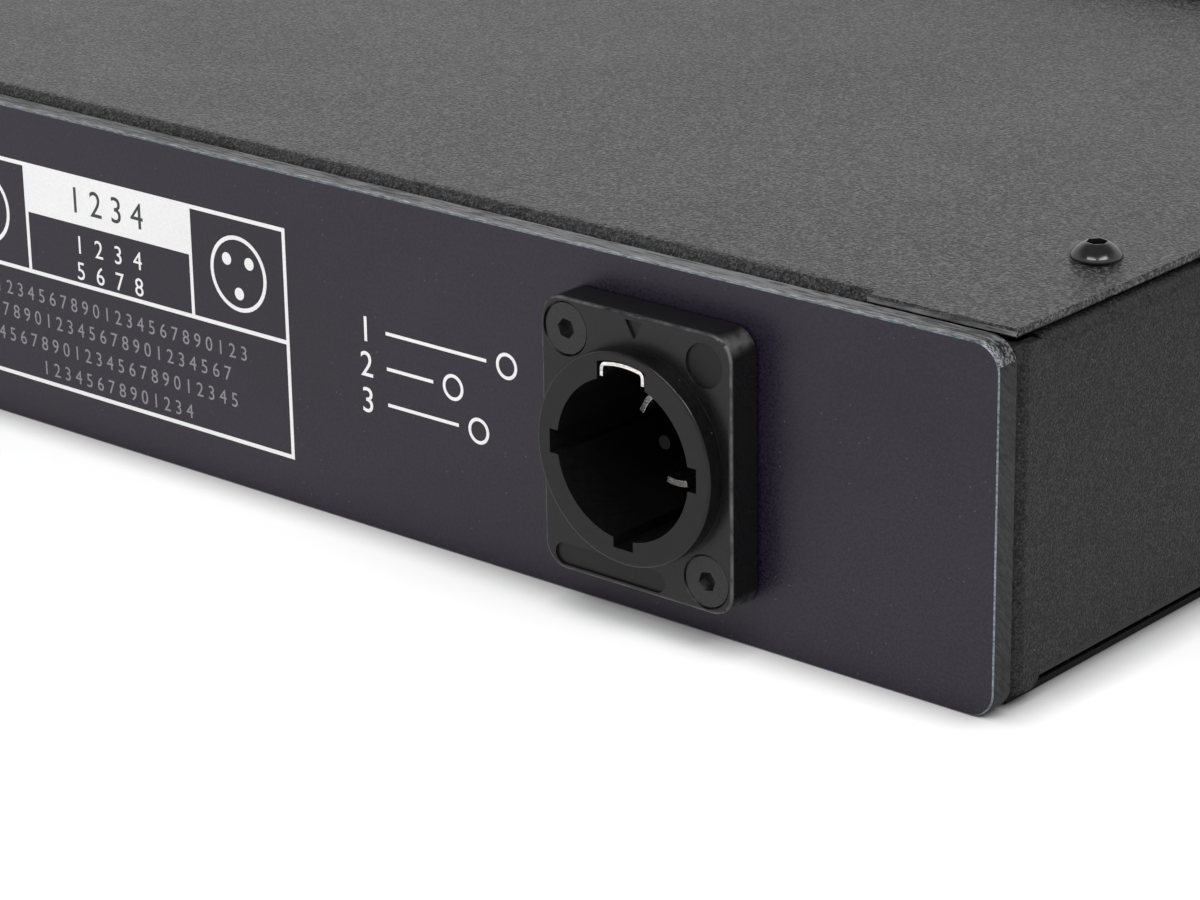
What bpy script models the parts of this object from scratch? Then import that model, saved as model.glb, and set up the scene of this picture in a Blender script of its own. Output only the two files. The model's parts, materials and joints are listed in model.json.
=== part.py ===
# Rack-mounted signal splitter, one unit high, modelled as separate pieces.
# The front faces -Y, the rear panel with the sockets faces +Y, +Z is up.
# The origin is the middle of the bounding box's bottom face. Lengths are in metres.

import math

import bmesh
import bpy
from mathutils import Vector

MM = 0.001

# Clearances
SEAT = 0.3 * MM                 # between a piece and what it rests on or passes through
EDGE_BREAK = 0.3 * MM           # milled edge on the faces of the two panels
MOULD_EDGE = 0.4 * MM           # soft edge on moulded flanges

# Overall sizes
BODY_WIDTH = 430.0 * MM
BODY_DEPTH = 135.0 * MM         # outer face of the front panel to outer face of the rear panel
RACK_WIDTH = 482.6 * MM
RACK_HEIGHT = 43.6 * MM
PANEL_THICKNESS = 3.0 * MM
FRONT_CORNER = 1.2 * MM
REAR_HEIGHT = 40.0 * MM
REAR_CORNER = 3.0 * MM

# Rack slots
SLOT_INSET = 8.75 * MM          # slot's middle from the panel's end
SLOT_PITCH_Z = 31.75 * MM
SLOT_LENGTH = 10.3 * MM
SLOT_HEIGHT = 6.8 * MM

# Sheet metal
SHEET = 1.0 * MM                # top cover and bottom sheet
SHEET_LIFT = 0.1 * MM           # bottom sheet above the panels' lower edges
SHEET_INSET = 1.25 * MM         # edges of both sheets inside the side channels' outer faces
CHANNEL_SHEET = 1.2 * MM
CHANNEL_HEIGHT = 37.6 * MM
CHANNEL_BEND = 2.0 * MM         # outer bend radius
CHANNEL_FLANGE = 14.0 * MM      # top and bottom flanges
CHANNEL_END_FLANGE = 18.0 * MM  # flanges behind the two panels
CHANNEL_RELIEF = 5.0 * MM       # the flanges stop this far from the channel's ends
RELIEF_ROUND = 1.6 * MM
COVER_BEND = 1.6 * MM
COVER_LUG_SETBACK = 4.6 * MM    # flat lug's edge behind a panel's outer face
COVER_FLANGE_SETBACK = 5.1 * MM
COVER_FLANGE_DEPTH = 6.0 * MM
COVER_LUG_WIDTH = 18.4 * MM
BOTTOM_SETBACK = 4.1 * MM
BEND_STEPS = 4

# Cover screws, M3 button heads
SCREW_SHANK = 2.9 * MM
SCREW_HOLE = SCREW_SHANK + 2 * SEAT
BUTTON_HEAD = 5.7 * MM
BUTTON_HEIGHT = 1.65 * MM
BUTTON_RIM = 0.25 * MM
BUTTON_FLAT = 1.2 * MM          # radius of the flat on top of the head
HEX_KEY = 2.0 * MM
HEX_DEPTH = 1.05 * MM
COVER_SCREW_LENGTH = 6.0 * MM
COVER_SCREW_INSET = 7.9 * MM    # from the body's side
COVER_SCREW_SETBACK = 28.4 * MM  # from a panel's outer face

# Panel studs and board pillars, pressed into their sheets
STUD = 2.9 * MM
STUD_LENGTH = 7.0 * MM
STUD_INSET = 10.0 * MM
STUD_PITCH = 24.0 * MM
PILLAR = 5.5 * MM
PILLAR_HEIGHT = 5.0 * MM
LAMP_PILLAR_HEIGHT = 4.0 * MM
BOARD = 1.6 * MM

# D-size sockets
SOCKET_Z = 20.2 * MM            # socket axis above the rear panel's lower edge
FLANGE_WIDTH = 26.0 * MM
FLANGE_HEIGHT = 31.0 * MM
FLANGE_CORNER = 2.9 * MM
BODY_HOLE = 24.0 * MM
BODY_RADIUS = BODY_HOLE / 2 - SEAT
FIXING_X = 9.5 * MM
FIXING_Z = 12.0 * MM
FIXING_HOLE = 3.4 * MM
COUNTERSINK = 6.1 * MM
COUNTERSINK_RIM = 0.35 * MM
COUNTERSUNK_HEAD = 5.7 * MM
COUNTERSUNK_DROP = 0.15 * MM    # head below the flange's face
FIXING_SCREW_LENGTH = 10.0 * MM

# Mains inlet
INLET_INSET = 43.0 * MM         # axis from the body's side
INLET_FACE = 4.5 * MM           # flange face above the rear panel
COLLAR_RADIUS = 11.85 * MM
COLLAR_PROUD = 2.2 * MM
COLLAR_EDGE = 0.35 * MM
BORE_RADIUS = 9.0 * MM
BORE_DEPTH = 20.0 * MM
NOTCH_RADIUS = 10.05 * MM
NOTCH_WIDTH = 2.7 * MM
EARTH_NOTCH_RADIUS = 10.85 * MM
EARTH_NOTCH_WIDTH = 6.5 * MM
INSERT_DISC = 3.3 * MM
INSERT_CAP = 2.5 * MM
INSERT_CAP_RADIUS = 11.4 * MM
POST_RADIUS = 0.8 * MM
POST_DEPTH = 7.0 * MM           # post's tip below the collar's face
BLADE_DEPTH = 9.0 * MM          # blades' tips below the collar's face
BLADE_INNER = 4.85 * MM
BLADE_SHEET = 0.7 * MM
BLADE_SPAN = 30.0               # degrees
LINE_BLADE_START = 20.0         # degrees, from +X towards +Z
NEUTRAL_BLADE_START = 255.0     # degrees
EARTH_WIDTH = 6.0 * MM
EARTH_DROP = 1.9 * MM
EARTH_SHEET = 0.4 * MM
EARTH_GAP = 0.2 * MM
EARTH_RECESS = 0.2 * MM         # contact's edge below the collar's face
TAB_WIDTH = 4.8 * MM
TAB_LENGTH = 8.0 * MM
TAB_SHEET = 0.8 * MM
RECESS_DEPTH = 0.25 * MM
ARROW_WIDTH = 2.4 * MM
ARROW_HEIGHT = 2.1 * MM
ARROW_TOP = 14.8 * MM
BUTTON_RECESS = 4.9 * MM
OVAL_LENGTH = 15.4 * MM
OVAL_HEIGHT = 2.5 * MM
OVAL_X = 3.8 * MM
OVAL_Z = -13.7 * MM

# Three-pole signal sockets
INPUT_INSET = 43.0 * MM         # axis from the body's other side
OUTPUT_X = -25.0 * MM
OUTPUT_PITCH = 42.0 * MM
OUTPUT_COUNT = 4
SIGNAL_FACE = 3.3 * MM
SIGNAL_COLLAR = 11.4 * MM
SIGNAL_COLLAR_PROUD = 0.7 * MM
SIGNAL_BODY = 15.0 * MM         # body length behind the rear panel's face
PIN_CIRCLE = 5.3 * MM
PIN_RADIUS = 1.2 * MM
PIN_TIP = 1.5 * MM
PIN_TAIL = 19.0 * MM
MALE_BORE = 8.15 * MM
MALE_FLOOR = 11.5 * MM
FEMALE_BORE = 9.6 * MM
FEMALE_INSERT = 7.8 * MM
FEMALE_FACE = 2.6 * MM
FEMALE_FLOOR = 12.0 * MM
CONTACT_HOLE = 1.45 * MM
KEY_WIDTH = 2.6 * MM
KEY_DEPTH = 1.2 * MM

# Release tab of an output socket, drawn across its pivot pin
LATCH_WIDTH = 6.0 * MM
LATCH_PIVOT_Y = 2.0 * MM
LATCH_PIVOT_Z = 13.0 * MM
LATCH_FACE = 4.7 * MM
LATCH_TOP = 13.9 * MM
LATCH_BOTTOM = 9.8 * MM
LATCH_ARM = 0.9 * MM
LATCH_TAB = 1.5 * MM
LATCH_REACH = 7.0 * MM          # arm's end behind the rear panel's face
LATCH_HOOK = 1.3 * MM
LATCH_RISE = 1.4 * MM           # room above the arm for its swing

# Power switch
SWITCH_INSET = 35.0 * MM        # middle from the body's side
BEZEL_WIDTH = 15.0 * MM
BEZEL_HEIGHT = 21.0 * MM
BEZEL_PROUD = 2.3 * MM
SWITCH_BODY_WIDTH = 12.7 * MM
SWITCH_BODY_HEIGHT = 19.0 * MM
SWITCH_BODY_DEPTH = 15.0 * MM
CAVITY_WIDTH = 11.2 * MM
CAVITY_HEIGHT = 17.6 * MM
CAVITY_DEPTH = 6.0 * MM
ROCKER_PIVOT = 1.0 * MM         # behind the front panel's face
ROCKER_TILT = 11.0              # degrees to each side
ROCKER_END = 7.5 * MM
ROCKER_TOP = 5.4 * MM
ROCKER_MIDDLE = 3.9 * MM
ROCKER_SHOULDER = 8.0 * MM
ROCKER_FOOT = 4.5 * MM
ROCKER_DEPTH = 3.6 * MM

# Indicator lamps
LAMP_RADIUS = 2.5 * MM
LAMP_BODY = 6.1 * MM
LAMP_RIM = 0.4 * MM
POWER_LAMP_STEP = 30.0 * MM     # from the switch's middle
SIGNAL_LAMP_X = -60.0 * MM
SIGNAL_LAMP_PITCH = 30.0 * MM
LAMP_BOARD_END = 12.0 * MM
LAMP_BOARD_HEIGHT = 16.0 * MM
LAMP_PILLAR_OFFSET = 7.0 * MM   # from the outer lamps, away from the row

# Boards and what stands on them
SUPPLY_INSET = 52.5 * MM        # board's middle from the body's side
SUPPLY_Y = -5.0 * MM
SUPPLY_WIDTH = 75.0 * MM
SUPPLY_DEPTH = 56.0 * MM
SPLITTER_MARGIN = 21.5 * MM      # board beyond the outermost signal sockets' axes
SPLITTER_DEPTH = 72.0 * MM
SPLITTER_REAR = 2.0 * MM        # from the rear panel's inner face
PILLAR_INSET = 5.0 * MM
RELAY_WIDTH = 15.5 * MM
RELAY_LENGTH = 19.0 * MM
RELAY_HEIGHT = 15.5 * MM
RELAY_Y = 28.0 * MM
TRANSFORMER_SIZE = (24.0 * MM, 20.0 * MM, 18.0 * MM)
CAPACITOR_RADIUS = 5.0 * MM
CAPACITOR_HEIGHT = 20.0 * MM
TERMINAL_SIZE = (20.0 * MM, 9.0 * MM, 11.0 * MM)
EARTH_STUD = 3.9 * MM
EARTH_STUD_HEIGHT = 11.0 * MM
EARTH_STUD_INSET = 75.0 * MM    # from the body's side
EARTH_STUD_Y = 44.0 * MM
EARTH_NUT = 7.0 * MM
EARTH_NUT_HEIGHT = 3.2 * MM
LEAD = 2.4 * MM                 # insulated mains lead
LEAD_BEND = 4.0 * MM            # from a corner of its path to where its bend starts
LEAD_STEPS = 6
LEAD_CLEARANCE = 12.0 * MM      # between the side run of the leads and the supply board's edge, inwards
SWITCH_TERMINAL_Z = 5.0 * MM    # terminals above and below the switch's middle

# Roundness, in faces for a full turn
INLET_STEPS = 40                # mains inlet
SOCKET_STEPS = 22               # signal sockets and the panel's holes
SCREW_STEPS = 16
SMALL_STEPS = 12                # pins, lamps and screw holes
PILLAR_STEPS = 8                # pressed-in studs and pillars
CORNER_STEPS = 4
SHARP = 32.0                    # degrees
MERGE = 0.001 * MM


def tilted(points, degrees):
    """The outline turned about its origin."""
    turn = math.radians(degrees)
    cosine, sine = math.cos(turn), math.sin(turn)
    return [(u * cosine - v * sine, u * sine + v * cosine) for u, v in points]


def rocker_outline():
    """The rocker across its pivot pin: distance outward, height."""
    return [
        (ROCKER_TOP, -ROCKER_END),
        (ROCKER_MIDDLE, 0.0),
        (ROCKER_TOP, ROCKER_END),
        (0.0, ROCKER_SHOULDER),
        (-ROCKER_DEPTH, ROCKER_FOOT),
        (-ROCKER_DEPTH, -ROCKER_FOOT),
        (0.0, -ROCKER_SHOULDER),
    ]


# Places that follow from the sizes above
SWITCH_PROUD = max(u for u, v in tilted(rocker_outline(), ROCKER_TILT)) - ROCKER_PIVOT
INLET_PROUD = INLET_FACE + COLLAR_PROUD
REAR_FACE = (BODY_DEPTH + SWITCH_PROUD - INLET_PROUD) / 2
FRONT_FACE = REAR_FACE - BODY_DEPTH
REAR_BACK = REAR_FACE - PANEL_THICKNESS
FRONT_BACK = FRONT_FACE + PANEL_THICKNESS
SIDE = BODY_WIDTH / 2
MIDDLE_Z = RACK_HEIGHT / 2
INLET_X = INLET_INSET - SIDE
INPUT_X = SIDE - INPUT_INSET
SWITCH_X = SWITCH_INSET - SIDE
SUPPLY_X = SUPPLY_INSET - SIDE
EARTH_STUD_X = EARTH_STUD_INSET - SIDE
BOTTOM_TOP = SHEET_LIFT + SHEET
CHANNEL_BOTTOM = BOTTOM_TOP + SEAT
CHANNEL_TOP = CHANNEL_BOTTOM + CHANNEL_HEIGHT
COVER_BOTTOM = CHANNEL_TOP + SEAT
COVER_TOP = COVER_BOTTOM + SHEET
BOARD_BOTTOM = BOTTOM_TOP + PILLAR_HEIGHT + SEAT
BOARD_TOP = BOARD_BOTTOM + BOARD
OUTPUT_PLACES = [OUTPUT_X + index * OUTPUT_PITCH for index in range(OUTPUT_COUNT)]
SOCKET_PLACES = [INLET_X, INPUT_X] + OUTPUT_PLACES
SIGNAL_ENDS = (min(SOCKET_PLACES[1:]), max(SOCKET_PLACES[1:]))
SPLITTER_X = (SIGNAL_ENDS[0] + SIGNAL_ENDS[1]) / 2
SPLITTER_WIDTH = SIGNAL_ENDS[1] - SIGNAL_ENDS[0] + 2 * SPLITTER_MARGIN
LAMP_PLACES = {"lamp_power": SWITCH_X + POWER_LAMP_STEP, "lamp_input": SIGNAL_LAMP_X}
for lamp in range(1, OUTPUT_COUNT + 1):
    LAMP_PLACES[f"lamp_output_{lamp}"] = SIGNAL_LAMP_X + lamp * SIGNAL_LAMP_PITCH


def clear_scene():
    for item in list(bpy.data.objects):
        bpy.data.objects.remove(item, do_unlink=True)


def material(name, colour, roughness, metallic=0.0):
    """A named Principled material, made once."""
    finish = bpy.data.materials.get(name)
    if finish is None:
        finish = bpy.data.materials.new(name)
        finish.use_nodes = True
        shader = finish.node_tree.nodes["Principled BSDF"]
        shader.inputs["Base Color"].default_value = (*colour, 1.0)
        shader.inputs["Roughness"].default_value = roughness
        shader.inputs["Metallic"].default_value = metallic
        finish.diffuse_color = (*colour, 1.0)
    return finish


def anodised():
    return material("black_anodised_panel", (0.045, 0.043, 0.050), 0.5, 0.2)


def powder_coat():
    return material("black_powder_coat", (0.040, 0.040, 0.040), 0.6)


def black_plastic():
    return material("black_moulded_plastic", (0.020, 0.020, 0.021), 0.45)


def black_steel():
    return material("black_steel_screw", (0.030, 0.030, 0.030), 0.25, 0.6)


def bright_metal():
    return material("bright_contact_metal", (0.75, 0.73, 0.70), 0.25, 1.0)


def board_green():
    return material("green_circuit_board", (0.020, 0.120, 0.050), 0.45)


def insulation(name, colour):
    return material(name, colour, 0.5)


def relay_case():
    return material("dark_component_case", (0.030, 0.040, 0.070), 0.4)


def lamp_lens():
    return material("clear_green_lens", (0.10, 0.55, 0.20), 0.15)


# Flat outlines, each a list of points going round once

def arc(centre_u, centre_v, radius, start, end, steps):
    """Points along an arc, angles in degrees."""
    points = []
    for index in range(steps + 1):
        angle = math.radians(start + (end - start) * index / steps)
        points.append((centre_u + radius * math.cos(angle), centre_v + radius * math.sin(angle)))
    return points


def circle(centre_u, centre_v, radius, steps):
    return arc(centre_u, centre_v, radius, 0.0, 360.0, steps)[:-1]


def rectangle(low_u, low_v, high_u, high_v):
    return [(low_u, low_v), (high_u, low_v), (high_u, high_v), (low_u, high_v)]


def centred(centre_u, centre_v, width, height):
    return rectangle(
        centre_u - width / 2, centre_v - height / 2, centre_u + width / 2, centre_v + height / 2
    )


def rounded(centre_u, centre_v, width, height, radius, steps):
    """A rectangle with round corners."""
    across, up = width / 2 - radius, height / 2 - radius
    points = []
    for turn, (side_u, side_v) in enumerate([(1, 1), (-1, 1), (-1, -1), (1, -1)]):
        start = 90.0 * turn
        corner_u, corner_v = centre_u + side_u * across, centre_v + side_v * up
        points += arc(corner_u, corner_v, radius, start, start + 90.0, steps)
    return points


def slot(centre_u, centre_v, length, height, steps):
    """A slot with half-round ends, its length along u."""
    reach = (length - height) / 2
    right = arc(centre_u + reach, centre_v, height / 2, -90.0, 90.0, steps)
    left = arc(centre_u - reach, centre_v, height / 2, 90.0, 270.0, steps)
    return right + left


def hexagon(centre_u, centre_v, across_flats):
    return circle(centre_u, centre_v, across_flats / math.sqrt(3.0), 6)


def sector(inner, outer, start, end, steps):
    """Part of a ring about the origin."""
    return arc(0.0, 0.0, outer, start, end, steps) + arc(0.0, 0.0, inner, end, start, steps)


# Solids

def placed(axis, u, v, w):
    """A point whose outline lies across the given axis, w along it."""
    if axis == "X":
        return (w, u, v)
    if axis == "Y":
        return (u, w, v)
    return (u, v, w)


def as_object(shape, name):
    shape.normal_update()
    bmesh.ops.recalc_face_normals(shape, faces=shape.faces)
    if shape.calc_volume(signed=True) < 0.0:
        bmesh.ops.reverse_faces(shape, faces=shape.faces)
    mesh = bpy.data.meshes.new(name)
    shape.to_mesh(mesh)
    shape.free()
    item = bpy.data.objects.new(name, mesh)
    bpy.context.scene.collection.objects.link(item)
    return item


def prism(name, outlines, low, high, axis, soft_edge=0.0):
    """Extrudes one outline, or several apart, along an axis; soft_edge bevels the far face."""
    if isinstance(outlines[0][0], float):
        outlines = [outlines]
    shape = bmesh.new()
    for outline in outlines:
        corners = [shape.verts.new(placed(axis, u, v, low)) for u, v in outline]
        face = shape.faces.new(corners)
        grown = bmesh.ops.extrude_face_region(shape, geom=[face])
        lifted = [part for part in grown["geom"] if isinstance(part, bmesh.types.BMVert)]
        move = placed(axis, 0.0, 0.0, high - low)
        bmesh.ops.translate(shape, verts=lifted, vec=move)
        if soft_edge:
            raised = set(lifted)
            rim = [edge for edge in shape.edges if edge.verts[0] in raised and edge.verts[1] in raised]
            bmesh.ops.bevel(shape, geom=rim, offset=soft_edge, segments=1, affect="EDGES")
    return as_object(shape, name)


def turned(name, profile, axis, steps):
    """Spins a profile of (radius, place along the axis) about that axis."""
    shape = bmesh.new()
    points = [shape.verts.new((radius, 0.0, along)) for radius, along in profile]
    edges = [shape.edges.new(pair) for pair in zip(points, points[1:])]
    bmesh.ops.spin(
        shape, geom=points + edges, cent=(0.0, 0.0, 0.0), axis=(0.0, 0.0, 1.0),
        angle=math.tau, steps=steps, use_merge=True,
    )
    bmesh.ops.remove_doubles(shape, verts=shape.verts, dist=MERGE)
    if axis == "Y":
        for point in shape.verts:
            across, along_y, along_z = point.co
            point.co = (across, along_z, along_y)
    return as_object(shape, name)


def combined(target, tool, operation):
    """Joins a tool to the target or cuts it away, and removes the tool."""
    modifier = target.modifiers.new("Combine", "BOOLEAN")
    modifier.solver = "EXACT"
    modifier.operation = operation
    modifier.object = tool
    graph = bpy.context.evaluated_depsgraph_get()
    mesh = bpy.data.meshes.new_from_object(target.evaluated_get(graph))
    target.modifiers.remove(modifier)
    before = target.data
    target.data = mesh
    bpy.data.meshes.remove(before)
    bpy.data.objects.remove(tool, do_unlink=True)
    return target


def join(target, *tools):
    for tool in tools:
        combined(target, tool, "UNION")
    return target


def cut(target, *tools):
    for tool in tools:
        combined(target, tool, "DIFFERENCE")
    return target


def finished(item, finish, parent=None):
    """Gives a piece its material, its shading and its parent."""
    item.data.materials.clear()
    item.data.materials.append(finish)
    item.data.shade_smooth()
    item.data.set_sharp_from_angle(angle=math.radians(SHARP))
    item.parent = parent
    return item


def copied(item, name, parent):
    """A further copy of a repeated piece, sharing its mesh."""
    twin = bpy.data.objects.new(name, item.data)
    twin.location = item.location
    twin.rotation_euler = item.rotation_euler
    twin.parent = parent
    bpy.context.scene.collection.objects.link(twin)
    return twin


def frame_at(name, x, y, z, turn=0.0):
    """An empty whose +Y points out of a panel."""
    frame = bpy.data.objects.new(name, None)
    frame.location = (x, y, z)
    frame.rotation_euler.z = turn
    bpy.context.scene.collection.objects.link(frame)
    return frame


# Panels

def fixing_places():
    """The two fixing holes of a D-size socket, across its axis."""
    return [(FIXING_X, FIXING_Z), (-FIXING_X, -FIXING_Z)]


def stud_places():
    return [
        (side * (SIDE - STUD_INSET), (SHEET_LIFT + COVER_TOP) / 2 + level * STUD_PITCH / 2)
        for side in (-1, 1)
        for level in (-1, 1)
    ]


def studs(low, high):
    rods = [circle(x, z, STUD / 2, PILLAR_STEPS) for x, z in stud_places()]
    return prism("studs", rods, low, high, "Y")


def make_rear_panel():
    outline = rounded(0.0, REAR_HEIGHT / 2, BODY_WIDTH, REAR_HEIGHT, REAR_CORNER, CORNER_STEPS)
    panel = prism("rear_panel", outline, REAR_BACK, REAR_FACE, "Y", EDGE_BREAK)
    join(panel, studs(REAR_BACK - STUD_LENGTH, REAR_BACK + PANEL_THICKNESS / 2))
    holes = [circle(x, SOCKET_Z, BODY_HOLE / 2, SOCKET_STEPS) for x in SOCKET_PLACES]
    fixings = [
        circle(x + u, SOCKET_Z + v, FIXING_HOLE / 2, PILLAR_STEPS)
        for x in SOCKET_PLACES
        for u, v in fixing_places()
    ]
    low, high = REAR_BACK - PANEL_THICKNESS, REAR_FACE + PANEL_THICKNESS
    return finished(cut(panel, prism("holes", holes + fixings, low, high, "Y")), anodised())


def lamp_pillar_places():
    places = list(LAMP_PLACES.values())
    return [min(places) + LAMP_PILLAR_OFFSET + LAMP_BOARD_HEIGHT, max(places) + LAMP_PILLAR_OFFSET]


def make_front_panel():
    outline = rounded(0.0, MIDDLE_Z, RACK_WIDTH, RACK_HEIGHT, FRONT_CORNER, 3)
    panel = prism("front_panel", outline, FRONT_BACK, FRONT_FACE, "Y", EDGE_BREAK)
    root = FRONT_BACK - PANEL_THICKNESS / 2
    join(panel, studs(root, FRONT_BACK + STUD_LENGTH))
    pillars = [circle(x, MIDDLE_Z, PILLAR / 2, PILLAR_STEPS) for x in lamp_pillar_places()]
    join(panel, prism("pillars", pillars, root, FRONT_BACK + LAMP_PILLAR_HEIGHT, "Y"))
    slots = []
    for side in (-1, 1):
        for level in (-1, 1):
            x, z = side * (RACK_WIDTH / 2 - SLOT_INSET), MIDDLE_Z + level * SLOT_PITCH_Z / 2
            slots.append(slot(x, z, SLOT_LENGTH, SLOT_HEIGHT, PILLAR_STEPS))
    lamps = [circle(x, MIDDLE_Z, LAMP_RADIUS + SEAT, SCREW_STEPS) for x in LAMP_PLACES.values()]
    half_width = SWITCH_BODY_WIDTH / 2 + SEAT
    half_height = SWITCH_BODY_HEIGHT / 2 + SEAT
    opening = centred(SWITCH_X, MIDDLE_Z, 2 * half_width, 2 * half_height)
    low, high = FRONT_FACE - PANEL_THICKNESS, FRONT_BACK + PANEL_THICKNESS
    cutter = prism("holes", slots + lamps + [opening], low, high, "Y")
    return finished(cut(panel, cutter), anodised())


# Folded sheet

def channel_section(width):
    """A U section: distance inward from the outer face, height."""
    bend, sheet, top = CHANNEL_BEND, CHANNEL_SHEET, CHANNEL_TOP
    inner = bend - sheet
    low, high = CHANNEL_BOTTOM + bend, top - bend
    outer_path = [(width, CHANNEL_BOTTOM)]
    outer_path += arc(bend, low, bend, 270.0, 180.0, BEND_STEPS)
    outer_path += arc(bend, high, bend, 180.0, 90.0, BEND_STEPS)
    outer_path += [(width, top), (width, top - sheet)]
    inner_path = arc(bend, high, inner, 90.0, 180.0, BEND_STEPS)
    inner_path += arc(bend, low, inner, 180.0, 270.0, BEND_STEPS)
    inner_path += [(width, CHANNEL_BOTTOM + sheet)]
    return outer_path + inner_path


def end_section():
    """The end flange and its bend: distance inward, distance from the channel's end."""
    bend, sheet = CHANNEL_BEND, CHANNEL_SHEET
    overlap = bend + sheet
    path = [(CHANNEL_END_FLANGE, 0.0)]
    path += arc(bend, bend, bend, 270.0, 180.0, BEND_STEPS)
    path += [(0.0, overlap), (sheet, overlap)]
    path += arc(bend, bend, bend - sheet, 180.0, 270.0, BEND_STEPS)
    path += [(CHANNEL_END_FLANGE, sheet)]
    return path


def tab_outline():
    """The flat web at a corner, whose lower and upper corners are rounded at the relief."""
    low, high = CHANNEL_BOTTOM, CHANNEL_TOP
    start = CHANNEL_RELIEF - RELIEF_ROUND
    reach = CHANNEL_RELIEF + CHANNEL_BEND
    path = [(CHANNEL_BEND, low)]
    path += arc(start, low + RELIEF_ROUND, RELIEF_ROUND, 270.0, 360.0, 4)
    path += [(CHANNEL_RELIEF, low + CHANNEL_BEND), (reach, low + CHANNEL_BEND)]
    path += [(reach, high - CHANNEL_BEND), (CHANNEL_RELIEF, high - CHANNEL_BEND)]
    path += arc(start, high - RELIEF_ROUND, RELIEF_ROUND, 0.0, 90.0, 4)
    path += [(CHANNEL_BEND, high)]
    return path


def cover_screw_places():
    rear, front = REAR_FACE - COVER_SCREW_SETBACK, FRONT_FACE + COVER_SCREW_SETBACK
    across = SIDE - COVER_SCREW_INSET
    return [(-across, rear), (across, rear), (-across, front), (across, front)]


def make_side_channel(name, side):
    """A folded channel; side is -1 or 1 along X."""
    rear, front = REAR_BACK - SEAT, FRONT_BACK + SEAT

    def outward(points):
        return [(side * (SIDE - u), v) for u, v in points]

    section = outward(channel_section(CHANNEL_FLANGE))
    channel = prism(name, section, front + CHANNEL_RELIEF, rear - CHANNEL_RELIEF, "Y")
    for end, inward in ((rear, -1), (front, 1)):
        corner = [(x, end + inward * away) for x, away in outward(end_section())]
        join(channel, prism("corner", corner, CHANNEL_BOTTOM, CHANNEL_TOP, "Z"))
        tab = [(end + inward * away, z) for away, z in tab_outline()]
        low, high = sorted((side * SIDE, side * (SIDE - CHANNEL_SHEET)))
        join(channel, prism("tab", tab, low, high, "X"))
    screws = [circle(x, y, SCREW_HOLE / 2, SMALL_STEPS) for x, y in cover_screw_places() if x * side > 0]
    cut(channel, prism("screw_holes", screws, CHANNEL_TOP - CHANNEL_BEND, COVER_TOP, "Z"))
    holes = [circle(x, z, STUD / 2 + SEAT, PILLAR_STEPS) for x, z in stud_places() if x * side > 0]
    for end in (rear, front):
        low, high = end - CHANNEL_BEND, end + CHANNEL_BEND
        cut(channel, prism("stud_holes", holes, low, high, "Y"))
    return finished(channel, powder_coat())


def make_top_cover():
    edge = SIDE - SHEET_INSET
    fold_end = SIDE - SHEET_INSET - COVER_LUG_WIDTH
    lug_rear, lug_front = REAR_FACE - COVER_LUG_SETBACK, FRONT_FACE + COVER_LUG_SETBACK
    fold_rear, fold_front = REAR_FACE - COVER_FLANGE_SETBACK, FRONT_FACE + COVER_FLANGE_SETBACK
    flat_rear, flat_front = fold_rear - COVER_BEND, fold_front + COVER_BEND
    outline = [
        (-edge, lug_front), (-fold_end, lug_front), (-fold_end, flat_front), (fold_end, flat_front),
        (fold_end, lug_front), (edge, lug_front), (edge, lug_rear), (fold_end, lug_rear),
        (fold_end, flat_rear), (-fold_end, flat_rear), (-fold_end, lug_rear), (-edge, lug_rear),
    ]
    cover = prism("top_cover", outline, COVER_BOTTOM, COVER_TOP, "Z")
    inner = COVER_BEND - SHEET
    level = COVER_TOP - COVER_BEND
    foot = COVER_TOP - COVER_FLANGE_DEPTH
    section = [(fold_front, foot)]
    section += arc(flat_front, level, COVER_BEND, 180.0, 90.0, BEND_STEPS)
    section += arc(flat_rear, level, COVER_BEND, 90.0, 0.0, BEND_STEPS)
    section += [(fold_rear, foot), (fold_rear - SHEET, foot)]
    section += arc(flat_rear, level, inner, 0.0, 90.0, BEND_STEPS)
    section += arc(flat_front, level, inner, 90.0, 180.0, BEND_STEPS)
    section += [(fold_front + SHEET, foot)]
    join(cover, prism("folds", section, -fold_end, fold_end, "X"))
    holes = [circle(x, y, SCREW_HOLE / 2, SMALL_STEPS) for x, y in cover_screw_places()]
    cut(cover, prism("holes", holes, COVER_BOTTOM - SHEET, COVER_TOP + SHEET, "Z"))
    return finished(cover, powder_coat())


def corner_places(centre_x, centre_y, width, depth, inset):
    across, along = width / 2 - inset, depth / 2 - inset
    return [
        (centre_x + side * across, centre_y + end * along)
        for side in (-1, 1)
        for end in (-1, 1)
    ]


def splitter_centre_y():
    return REAR_BACK - SPLITTER_REAR - SPLITTER_DEPTH / 2


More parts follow.
